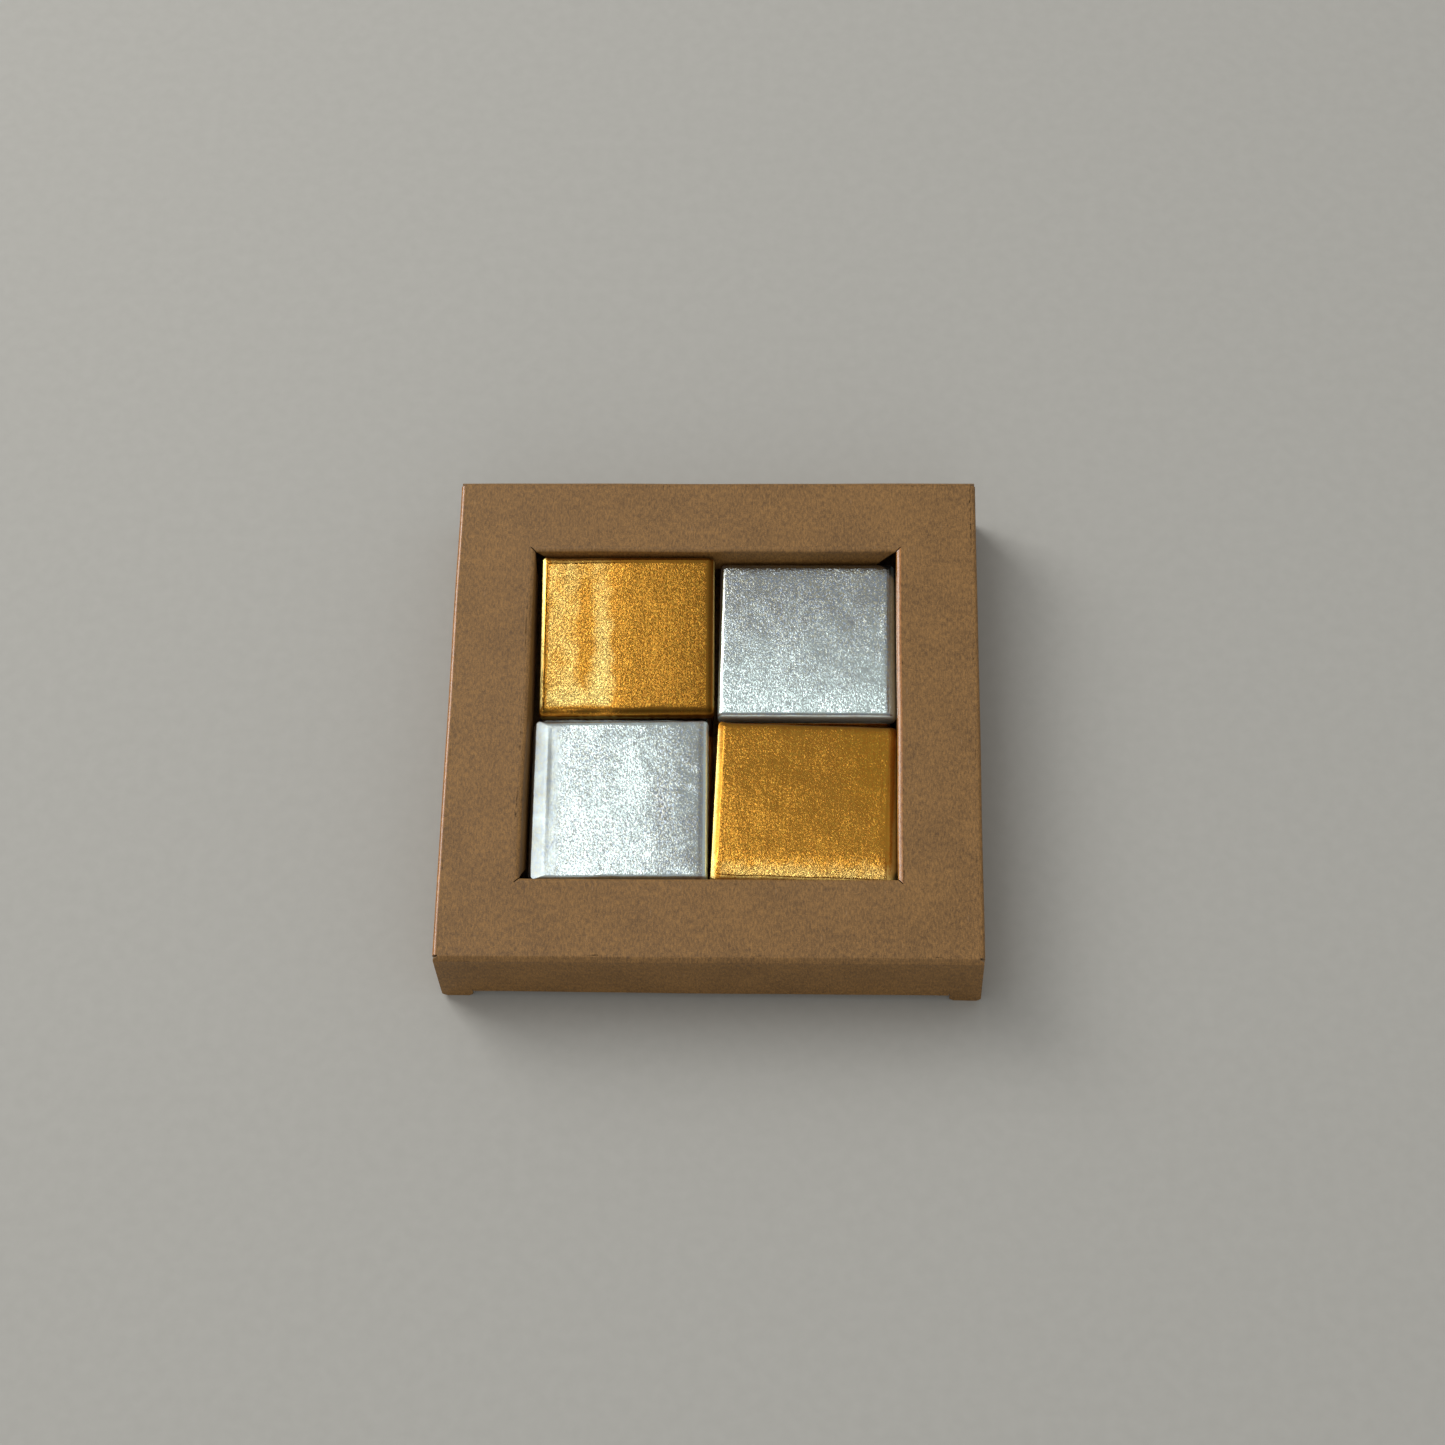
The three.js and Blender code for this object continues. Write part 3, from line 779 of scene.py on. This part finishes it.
def foil_levels(look, local, ring_crinkle):
    """How crinkled, bright, far down the side and matt the foil is at each point. The brightness, its tone,
    is painted light: highlights, reflections and shade put into the colour.
    """
    levels = {kind: banded(local, look[kind]) for kind in ("crinkle", "tone")}
    levels["crinkle"][1:-1] *= ring_crinkle
    # The patches paint bright rims and lines, dark grooves and dark bands at the edges: painted highlights
    # and painted shade.
    levels["tone"] *= patched(local, look["patches"])
    levels["side"] = smooth_step(-local[:, 2], -SIDE_HEIGHT, SIDE_DROP - SIDE_HEIGHT)
    levels["matt"] = np.maximum(levels["side"], 1 - banded(local, look["smooth"]))
    return levels


def foil_square(layer, stack, foil, look):
    """One square's foil, smoothed over the top and pleated down the sides."""
    node = f"foil_wrapper_{layer}_{stack}"
    plan = outline_ring(1.0, 1.0, 0.05)
    edge = foil_edge(look, plan)
    top = foil_top(look, edge[0])
    bottom = foil_bottom(edge[-1])
    centre_top = np.array([[0, 0, top[0][:, 2].mean()]])
    centre_bottom = np.array([[0, 0, -PIECE_HALF_Z]])
    rings = top + edge + bottom
    local = np.concatenate([centre_top] + rings + [centre_bottom])
    yaw, tip = math.radians(look["yaw"]), math.radians(look["tip"])
    turn = Matrix.Rotation(yaw, 3, "Z") @ Matrix.Rotation(tip, 3, "X")
    low, high = (np.array(corner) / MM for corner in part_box(node))
    places = local @ np.array(turn).T + (low + high) / 2
    faces = ring_faces(len(rings), len(plan))
    mesh = bpy.data.meshes.new(node.replace("wrapper", "skin"))
    mesh.from_pydata([tuple(p * MM) for p in places], [], faces)
    coordinates = local.astype(np.float32)
    coordinates[:, 2] += SEED_SPACING * look["seed"]
    add_attribute(mesh, "foil", coordinates)
    edge_crinkle = [max(BEVEL_CRINKLE, 1 - 4 * (1 - row[0])) for row in FOIL_PROFILE]
    ring_crinkle = [1.0] * len(top) + edge_crinkle + [BEVEL_CRINKLE] * len(bottom)
    levels = foil_levels(look, local, np.repeat(ring_crinkle, len(plan)))
    for kind, level in levels.items():
        add_attribute(mesh, kind, level)
    mesh.polygons.foreach_set("use_smooth", [True] * len(faces))
    mesh.materials.append(GOLD if foil == "gold" else SILVER)
    mesh.update()
    piece = linked_object(mesh.name, mesh)
    stand_for(piece, node, f"square_{layer}_{stack}")


# How a square looks. bevel and slope: left, right, front, back. stretch: how far the four corners of the
# outline stand out, from the front left one round. crinkle, tone and smooth: levels for banded(). tone and
# patches brighten and darken the foil's colour: painted highlights, painted reflections and painted shade.
PLAIN_LOOK = {
    "bevel": (1.3, 1.3, 0.9, 1.3),
    "stretch": ((0, 0), (0, 0), (0, 0), (0, 0)),
    "slope": (0.0, 0.0, 0.0, 0.0),
    "patches": [],
    "tilt": (0.0, 0.0),
    "bow": (0.08, 0.08),
    "ripple": 0.015,
    "creases": [],
    "tip": 0.0,
    "dent": 0.04,
    "front_dent": 0.03,
    "crinkle": [0.9],
    "tone": [0.85],
    "smooth": [1.0],
}

# Foil, turn and seed of each square, bottom layer first
STACKS = {
    "back_left": (("gold", 0.2, 21), ("silver", -0.3, 31), ("gold", 0.7, 41)),
    "back_right": (("silver", -0.3, 51), ("gold", 0.5, 61), ("silver", -0.1, 71)),
    "front_left": (("silver", 0.5, 81), ("gold", -0.6, 91), ("silver", 0.72, 101)),
    "front_right": (("gold", -0.4, 111), ("silver", 0.4, 121), ("gold", -1.8, 131)),
}

# How the four squares of the top layer differ from a plain one. Their tone bands and patches are painted
# highlights, painted reflections and painted shade: bright rims and lines, dark grooves and dark front
# bands.
TOP_LOOKS = {
    "back_left": {
        "tip": 5.2,
        "bevel": (0.9, 1.35, 1.5, 1.4),
        "stretch": ((-0.15, 0.0), (0.2, 0.0), (0.15, 0.15), (-0.2, 0.4)),
        "slope": (0.4, 0.0, 0.25, 0.0),
        "bow": (0.20, 0.05),
        "front_dent": 0.12,
        "crinkle": [0.56, (180, -0.3, 0.2, 3.0)],
        "tone": [0.65, (180, -0.15, 0.35, 1.42), (0, 0.3, 0.9, 0.82)],
        "patches": [
            (-8.0, 1.0, 1.5, 12.0, 0.85),
            (-4.0, -5.0, 2.0, 9.0, 1.12),
            (-9.0, -12.5, 7.0, 2.0, 1.12),
            (-16.4, 0.0, 0.4, 60.0, 1.5),
            (-15.6, 0.0, 0.25, 60.0, 0.6),
            (15.85, 0.0, 0.4, 60.0, 0.45),
            (16.5, 0.0, 0.18, 60.0, 2.4),
            (0.0, -15.5, 60.0, 0.65, 0.24),
            (0.0, -16.4, 60.0, 0.18, 2.4),
        ],
        "creases": [
            ((12.0, -15.0), (13.6, -16.0), 0.12, 0.5),
            ((4.0, -14.2), (6.5, -14.9), 0.10, 0.6),
        ],
    },
    "back_right": {
        "bevel": (0.7, 1.1, 0.6, 1.1),
        "stretch": ((-0.2, -0.4), (0.75, -0.4), (0.5, 0.15), (-0.2, 0.15)),
        "bow": (0.08, 0.14),
        "crinkle": [0.56, (270, 0.4, 0.95, 1.4)],
        "tone": [0.84, (270, -0.8, 0.7, 1.2), (270, 0.55, 0.95, 1.1)],
        "patches": [
            (15.6, 0.0, 0.35, 60.0, 0.7),
            (16.8, 0.0, 0.35, 60.0, 2.6),
            (-16.9, 0.0, 0.2, 60.0, 0.45),
            (0.0, -16.1, 60.0, 0.2, 0.5),
            (0.0, -16.7, 60.0, 0.3, 1.6),
        ],
        "creases": [
            ((11.0, 5.0), (12.3, 2.5), 0.10, 0.5),
            ((14.2, 4.5), (13.4, 0.5), -0.12, 0.7),
            ((11.4, -1.5), (13.0, -2.3), 0.08, 0.4),
            ((11.6, -3.2), (12.4, -4.4), 0.10, 0.4),
            ((14.6, -2.0), (14.0, -5.0), 0.10, 0.5),
            ((-1.5, -7.5), (-0.2, -8.6), 0.05, 0.4),
        ],
    },
    "front_left": {
        "bevel": (3.0, 0.75, 0.9, 1.1),
        "slope": (0.04, 0.0, 0.0, 0.0),
        "smooth": [1.0, (180, 0.5, 0.8, 0.5)],
        "stretch": ((-0.15, 0.0), (0.25, 0.0), (0.2, 0.1), (0.0, 0.1)),
        "tilt": (0.2, -0.1),
        "bow": (0.18, 0.08),
        "ripple": 0.02,
        "crinkle": [0.56, (180, 0.45, 0.8, 0.35), (0, 0.3, 0.95, 0.7)],
        "tone": [0.98, (0, 0.3, 0.9, 0.92), (180, 0.5, 0.85, 0.93)],
        "patches": [
            (15.3, 0.0, 0.3, 60.0, 0.75),
            (16.5, 0.0, 0.4, 60.0, 2.6),
            (2.0, 4.0, 2.2, 6.0, 1.12),
            (-3.0, -2.0, 5.0, 2.0, 1.08),
            (8.0, -3.0, 1.6, 9.0, 0.9),
        ],
        "creases": [
            ((11.2, 6.8), (14.6, 4.6), -0.16, 0.6),
            ((10.8, 2.2), (14.8, 0.8), -0.15, 0.7),
            ((3.9, 7.2), (6.0, -0.6), 0.04, 0.4),
            ((0.5, 8.6), (3.0, 7.8), -0.04, 0.4),
            ((3.2, -9.0), (3.6, -13.0), 0.05, 0.5),
        ],
    },
    "front_right": {
        "bevel": (1.0, 1.2, 1.3, 1.0),
        "slope": (0.3, 0.0, 0.0, 0.0),
        "stretch": ((-0.4, 0.0), (1.35, 0.0), (0.5, 0.0), (-0.5, 0.0)),
        "bow": (0.08, 0.16),
        "front_dent": 0.06,
        "crinkle": [0.38, (270, 0.55, 0.92, 5.2)],
        "tone": [0.77, (270, -0.6, 0.6, 1.06), (270, 0.6, 0.95, 1.18)],
        "patches": [
            (-15.4, 0.0, 0.4, 60.0, 0.85),
            (-16.6, 0.0, 0.5, 60.0, 1.3),
            (17.1, 0.0, 0.5, 60.0, 1.35),
            (0.0, 15.7, 60.0, 0.9, 0.62),
        ],
        "creases": [
            ((-12.0, 4.5), (-9.0, 1.5), -0.03, 1.2),
            ((-8.5, 2.6), (-7.6, 0.4), 0.05, 0.6),
        ],
    },
}


def foil_squares():
    for stack, squares in STACKS.items():
        for layer, (foil, yaw, seed) in zip(("bottom", "middle", "top"), squares):
            look = dict(PLAIN_LOOK, yaw=yaw, seed=seed)
            if layer == "top":
                look.update(TOP_LOOKS[stack])
            foil_square(layer, stack, foil, look)


# Materials


def srgb(*levels):
    """A colour given as 0 to 255 levels on a screen."""
    found = []
    for level in levels:
        c = level / 255
        found.append(c / 12.92 if c <= 0.04045 else ((c + 0.055) / 1.055) ** 2.4)
    return (*found, 1.0)


class Nodes:
    """A material's node tree, with one short call for each kind of node."""

    def __init__(self, name):
        self.material = bpy.data.materials.new(name)
        self.material.use_nodes = True
        self.tree = self.material.node_tree
        self.shader = self.tree.nodes["Principled BSDF"]

    def node(self, kind, **values):
        made = self.tree.nodes.new(kind)
        for key, value in values.items():
            setattr(made, key, value)
        return made

    def join(self, value, socket):
        """Links an output socket, or sets a plain value."""
        if isinstance(value, bpy.types.NodeSocket):
            self.tree.links.new(value, socket)
        else:
            socket.default_value = value

    def attribute(self, name):
        return self.node("ShaderNodeAttribute", attribute_name=name).outputs["Vector"]

    def level(self, name):
        return self.node("ShaderNodeAttribute", attribute_name=name).outputs["Fac"]

    def scaled(self, vector, scale):
        made = self.node("ShaderNodeMapping")
        self.join(vector, made.inputs["Vector"])
        made.inputs["Scale"].default_value = scale
        return made.outputs["Vector"]

    def noise_node(self, vector, scale, detail=2.0, roughness=0.5, distortion=0.0):
        made = self.node("ShaderNodeTexNoise")
        self.join(vector, made.inputs["Vector"])
        made.inputs["Scale"].default_value = scale
        made.inputs["Detail"].default_value = detail
        made.inputs["Roughness"].default_value = roughness
        made.inputs["Distortion"].default_value = distortion
        return made

    def noise(self, *settings):
        return self.noise_node(*settings).outputs["Fac"]

    def voronoi(self, vector, scale):
        made = self.node("ShaderNodeTexVoronoi")
        self.join(vector, made.inputs["Vector"])
        made.inputs["Scale"].default_value = scale
        return made

    def math(self, operation, a, b=0.0, c=0.0):
        made = self.node("ShaderNodeMath", operation=operation)
        self.join(a, made.inputs[0])
        self.join(b, made.inputs[1])
        self.join(c, made.inputs[2])
        return made.outputs[0]

    def spread(self, value, low, high, to_low=0.0, to_high=1.0):
        made = self.node("ShaderNodeMapRange")
        self.join(value, made.inputs["Value"])
        for name, number in zip(("From Min", "From Max", "To Min", "To Max"), (low, high, to_low, to_high)):
            made.inputs[name].default_value = number
        return made.outputs["Result"]

    def mix(self, share, a, b, blend_type="MIX"):
        made = self.node("ShaderNodeMix", data_type="RGBA", blend_type=blend_type)
        self.join(share, made.inputs[0])
        self.join(a, made.inputs[6])
        self.join(b, made.inputs[7])
        return made.outputs[2]

    def bump(self, height, distance, strength):
        made = self.node("ShaderNodeBump")
        made.inputs["Distance"].default_value = distance
        made.inputs["Strength"].default_value = strength
        self.join(height, made.inputs["Height"])
        return made.outputs["Normal"]

    def tilted(self, normal, directions, amount):
        """Leans a normal by a pattern of directions, given as a colour round middle grey."""
        centred = self.node("ShaderNodeVectorMath", operation="SUBTRACT")
        self.join(directions, centred.inputs[0])
        centred.inputs[1].default_value = (0.5, 0.5, 0.5)
        sized = self.node("ShaderNodeVectorMath", operation="SCALE")
        self.join(centred.outputs[0], sized.inputs[0])
        self.join(amount, sized.inputs["Scale"])
        leaned = self.node("ShaderNodeVectorMath", operation="ADD")
        self.join(normal, leaned.inputs[0])
        self.join(sized.outputs[0], leaned.inputs[1])
        unit = self.node("ShaderNodeVectorMath", operation="NORMALIZE")
        self.join(leaned.outputs[0], unit.inputs[0])
        return unit.outputs[0]

    def finish(self, **inputs):
        for name, value in inputs.items():
            self.join(value, self.shader.inputs[name.replace("_", " ")])
        return self.material


def kraft_board(name, base, light, dark, specular=0.45, polish=0.1):
    """Brown board with mottling, short fibres along the grain, and a few dark specks."""
    n = Nodes(name)
    sheet = n.attribute("sheet")
    mottle = n.noise(sheet, 0.10, 3.0, 0.55)
    cloud = n.noise(n.scaled(sheet, (1.0, 0.7, 1.0)), 0.9, 3.0, 0.6)
    fibre = n.noise(n.scaled(sheet, (3.0, 1.1, 1.0)), 1.0, 4.0, 0.6, 0.3)
    grain = n.noise(n.scaled(sheet, (1.2, 1.0, 1.0)), 4.4, 3.0, 0.65)
    tone = n.math("MULTIPLY_ADD", n.spread(mottle, 0.3, 0.7), 0.11, 0.0)
    tone = n.math("MULTIPLY_ADD", n.spread(cloud, 0.3, 0.7), 0.14, tone)
    tone = n.math("MULTIPLY_ADD", n.spread(fibre, 0.3, 0.7), 0.40, tone)
    tone = n.math("MULTIPLY_ADD", n.spread(grain, 0.3, 0.7), 0.35, tone)
    colour = n.mix(n.spread(tone, 0.28, 0.72), dark, light)
    colour = n.mix(0.2, colour, base)
    cells = n.voronoi(n.scaled(sheet, (1.0, 0.8, 1.0)), 0.28)
    chosen = n.math("GREATER_THAN", cells.outputs["Color"], 0.86)
    near = n.spread(cells.outputs["Distance"], 0.045, 0.085, 1.0, 0.0)
    speck = n.math("MULTIPLY", chosen, near)
    colour = n.mix(n.math("MULTIPLY", speck, 0.55), colour, srgb(62, 42, 28))
    threads = n.voronoi(n.scaled(sheet, (1.0, 0.22, 1.0)), 0.9)
    thread = n.math(
        "MULTIPLY",
        n.math("GREATER_THAN", threads.outputs["Color"], 0.72),
        n.spread(threads.outputs["Distance"], 0.05, 0.16, 1.0, 0.0),
    )
    colour = n.mix(n.math("MULTIPLY", thread, 0.16), colour, srgb(188, 156, 118))
    height = n.math("MULTIPLY_ADD", fibre, 0.7, n.math("MULTIPLY", grain, 0.5))
    fold = n.level("fold")
    roughness = n.math("MULTIPLY_ADD", fold, -polish, n.spread(fibre, 0.3, 0.7, 0.54, 0.66))
    normal = n.bump(height, 0.00005, 0.6)
    return n.finish(Base_Color=colour, Roughness=roughness, Specular_IOR_Level=specular, Normal=normal)


FOIL_ROUGHNESS = 0.15
MATT_ROUGHNESS = 0.38  # added where the foil is matt
CELL_TILT = 0.24  # how far the small flats of the foil lean
SQUIGGLE_TILT = 0.85
CLOUD = 0.05
# How much the side tint shows: a painted reflection of the brown board down the sides.
PAINTED_SIDE_REFLECTION_SHARE = 0.6
PAINTED_HIGHLIGHT_FROM = 0.85  # foil of a brighter tone than this also turns paler, a painted highlight
PAINTED_HIGHLIGHT_TO = 1.05


def foil(name, tints):
    """Soft metal foil with a fine grain of small leaning flats, streaks and clouds."""
    first, second, streaked, pale, painted_side_reflection_tint = tints
    n = Nodes(name)
    place = n.attribute("foil")
    crinkle = n.level("crinkle")
    # tone paints highlights, reflections and shade into the foil's colour, with a little random cloud.
    tone = n.level("tone")
    side = n.level("side")
    grain = n.noise(n.scaled(place, (2.8, 2.2, 2.2)), 1.0, 3.0, 0.6, 0.4)
    fine = n.noise(n.scaled(place, (5.6, 3.6, 3.6)), 1.0, 2.0, 0.6)
    streaks = n.noise(n.scaled(place, (2.4, 0.08, 0.3)), 1.0, 3.0, 0.6)
    patches = n.noise(place, 0.11, 2.0, 0.5)
    hue = n.noise(n.scaled(place, (2.0, 1.5, 1.5)), 1.0, 3.0, 0.7)
    colour = n.mix(n.spread(hue, 0.36, 0.64), first, second)
    colour = n.mix(n.spread(streaks, 0.35, 0.65, 0.0, 0.5), colour, streaked)
    cloud = n.noise(n.scaled(place, (1.0, 0.8, 0.8)), 0.34, 3.0, 0.65, 0.5)
    tone = n.math("MULTIPLY", tone, n.spread(cloud, 0.3, 0.7, 1 - CLOUD, 1 + CLOUD))
    # A painted reflection of the brown board down the sides.
    colour = n.mix(n.math("MULTIPLY", side, PAINTED_SIDE_REFLECTION_SHARE), colour, painted_side_reflection_tint)
    grey = n.node("ShaderNodeCombineColor")
    for channel in ("Red", "Green", "Blue"):
        n.join(tone, grey.inputs[channel])
    colour = n.mix(1.0, colour, grey.outputs["Color"], "MULTIPLY")
    # A painted highlight: foil of a bright tone turns pale.
    colour = n.mix(n.spread(tone, PAINTED_HIGHLIGHT_FROM, PAINTED_HIGHLIGHT_TO, 0.0, 0.9), colour, pale)
    height = n.math("MULTIPLY_ADD", fine, 0.35, grain)
    height = n.math("MULTIPLY_ADD", streaks, 0.3, height)
    amount = n.math("MULTIPLY", crinkle, n.spread(patches, 0.35, 0.65, 0.7, 1.0))
    height = n.math("MULTIPLY", height, amount)
    rough = n.spread(grain, 0.3, 0.7, FOIL_ROUGHNESS - 0.03, FOIL_ROUGHNESS + 0.05)
    matt = n.level("matt")
    rough = n.math("MULTIPLY_ADD", matt, MATT_ROUGHNESS, rough)
    normal = n.bump(height, 0.00012, 1.0)
    cells = n.voronoi(n.scaled(place, (1.0, 0.85, 0.85)), 3.6).outputs["Color"]
    normal = n.tilted(normal, cells, n.math("MULTIPLY", amount, CELL_TILT))
    squiggle = n.noise_node(n.scaled(place, (1.0, 0.8, 0.8)), 4.8, 2.0, 0.6).outputs["Color"]
    normal = n.tilted(normal, squiggle, n.math("MULTIPLY", amount, SQUIGGLE_TILT))
    return n.finish(Base_Color=colour, Metallic=1.0, Roughness=rough, Normal=normal)


def chocolate_material():
    """Dark milk chocolate, smooth with a slight bloom."""
    n = Nodes("chocolate")
    place = n.node("ShaderNodeTexCoord").outputs["Object"]
    bloom = n.noise(place, 220.0, 3.0, 0.6)
    colour = n.mix(n.spread(bloom, 0.35, 0.7), srgb(68, 40, 26), srgb(84, 52, 35))
    rough = n.spread(bloom, 0.3, 0.7, 0.38, 0.5)
    return n.finish(Base_Color=colour, Roughness=rough, Normal=n.bump(bloom, 0.00005, 0.5))


def floor_material():
    n = Nodes("floor")
    place = n.node("ShaderNodeTexCoord").outputs["Object"]
    speckle = n.noise(place, 400.0, 2.0, 0.5)
    colour = n.mix(n.spread(speckle, 0.3, 0.7), srgb(170, 169, 164), srgb(173, 172, 167))
    return n.finish(Base_Color=colour, Roughness=0.9, Specular_IOR_Level=0.1)


KRAFT_TINTS = (srgb(120, 86, 40), srgb(154, 113, 59), srgb(82, 55, 19))
KRAFT = kraft_board("kraft", *KRAFT_TINTS)
# Lighter tints for the folds that face the lamps: a painted highlight.
FOLD_PAINTED_HIGHLIGHT_TINTS = (srgb(156, 100, 38), srgb(188, 126, 58), srgb(112, 66, 18))
KRAFT_FOLD_PAINTED_HIGHLIGHT = kraft_board("kraft_fold_painted_highlight", *FOLD_PAINTED_HIGHLIGHT_TINTS, specular=0.7, polish=0.42)
KRAFT_EDGE = kraft_board("kraft_cut_edge", srgb(136, 108, 78), srgb(160, 132, 100), srgb(108, 84, 58))
# Two tints that mix, one in streaks, the pale one of the bright places, a painted highlight, and the one
# down the sides, a painted reflection of the brown board
GOLD_TINTS = (
    srgb(214, 146, 54), srgb(207, 158, 62), srgb(187, 128, 51), srgb(226, 203, 124), srgb(184, 100, 16)
)
SILVER_TINTS = (
    srgb(170, 184, 203), srgb(199, 198, 175), srgb(174, 180, 179), srgb(210, 227, 226), srgb(182, 144, 112)
)
GOLD = foil("gold_foil", GOLD_TINTS)
SILVER = foil("silver_foil", SILVER_TINTS)
CHOCOLATE = chocolate_material()


# Camera and light

FOCAL_PIXELS = 3032.5
PHOTO_PIXELS = 1445
SENSOR = 36.0
CAMERA_TURN = 4.739
CAMERA_ELEVATION = 64.097
CAMERA_ROLL = -4.126
CAMERA_SIDE = 1.814
CAMERA_RISE = -1.961
CAMERA_DISTANCE = 568.49
WORLD_COLOUR = (1.0, 0.99, 0.97, 1.0)
WORLD_STRENGTH = 0.5
FLOOR_REACH = 4.0  # metres


def camera():
    """The photograph's camera, found from the corners of the box. It aims at the middle of the top."""
    turn, rise, roll = (math.radians(a) for a in (CAMERA_TURN, CAMERA_ELEVATION, CAMERA_ROLL))
    back = Vector((math.sin(turn) * math.cos(rise), -math.cos(turn) * math.cos(rise), math.sin(rise)))
    level = Vector((math.cos(turn), math.sin(turn), 0))
    upright = back.cross(level)
    right = math.cos(roll) * level + math.sin(roll) * upright
    up = back.cross(right)
    place = right * CAMERA_SIDE + up * CAMERA_RISE + back * CAMERA_DISTANCE
    place = (place + Vector((0, 0, BOX_HEIGHT))) * MM
    data = bpy.data.cameras.new("camera")
    data.sensor_width = SENSOR
    data.sensor_fit = "HORIZONTAL"
    data.lens = FOCAL_PIXELS * SENSOR / PHOTO_PIXELS
    data.clip_start = 0.01
    obj = linked_object("camera", data)
    matrix = Matrix((right, up, back)).transposed().to_4x4()
    matrix.translation = place
    obj.matrix_world = matrix
    bpy.context.scene.camera = obj


def area_light(name, place, size, power, colour=(1, 1, 1)):
    """A square lamp that faces the box."""
    data = bpy.data.lights.new(name, "AREA")
    data.size = size
    data.energy = power
    data.color = colour
    obj = linked_object(name, data)
    obj.location = place
    obj.rotation_euler = (-Vector(place)).to_track_quat("-Z", "Y").to_euler()


def stage():
    """The pale floor, the even light all round, and three lamps."""
    world = bpy.data.worlds.new("world")
    bpy.context.scene.world = world
    world.use_nodes = True
    background = world.node_tree.nodes["Background"]
    background.inputs["Color"].default_value = WORLD_COLOUR
    background.inputs["Strength"].default_value = WORLD_STRENGTH
    area_light("window_light", (-0.95, 0.72, 0.87), 0.75, 11.5, (1.0, 0.99, 0.97))
    area_light("upper_light", (-0.46, 0.30, 1.23), 0.57, 3.1, (1.0, 1.0, 1.0))
    area_light("fill_light", (0.1, -1.2, 0.45), 1.0, 1.5, (1.0, 0.98, 0.94))
    mesh = bpy.data.meshes.new("floor")
    corners = [(FLOOR_REACH * x, FLOOR_REACH * y, 0) for x, y in ((-1, -1), (1, -1), (1, 1), (-1, 1))]
    mesh.from_pydata(corners, [], [(0, 1, 2, 3)])
    mesh.materials.append(floor_material())
    linked_object("floor", mesh)
    bpy.context.scene.view_settings.view_transform = "Standard"


def board():
    """Every piece of the folded carton."""
    top_panel()
    window_flap("front", -Y, X)
    window_flap("right", X, Y)
    window_flap("back", Y, X)
    window_flap("left", -X, Y, LEFT_WINDOW_FLAP_LEAN)
    side_wall("left", -X, BOARD)
    side_wall("right", X, 0.0)
    bottom_panel()
    glue_flap()
    for end, out, lean in (("front", -Y, FRONT_LEAN), ("back", Y, BACK_LEAN)):
        closure(end, out, lean)
        tuck_flap(end, out, lean)
        for side, wall_out in (("left", -X), ("right", X)):
            dust_flap(end, side, out, wall_out)


def chocolates():
    for name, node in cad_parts.items():
        if name.startswith("chocolate_"):
            node.data.materials.clear()
            node.data.materials.append(CHOCOLATE)


board()
foil_squares()
chocolates()
camera()
stage()
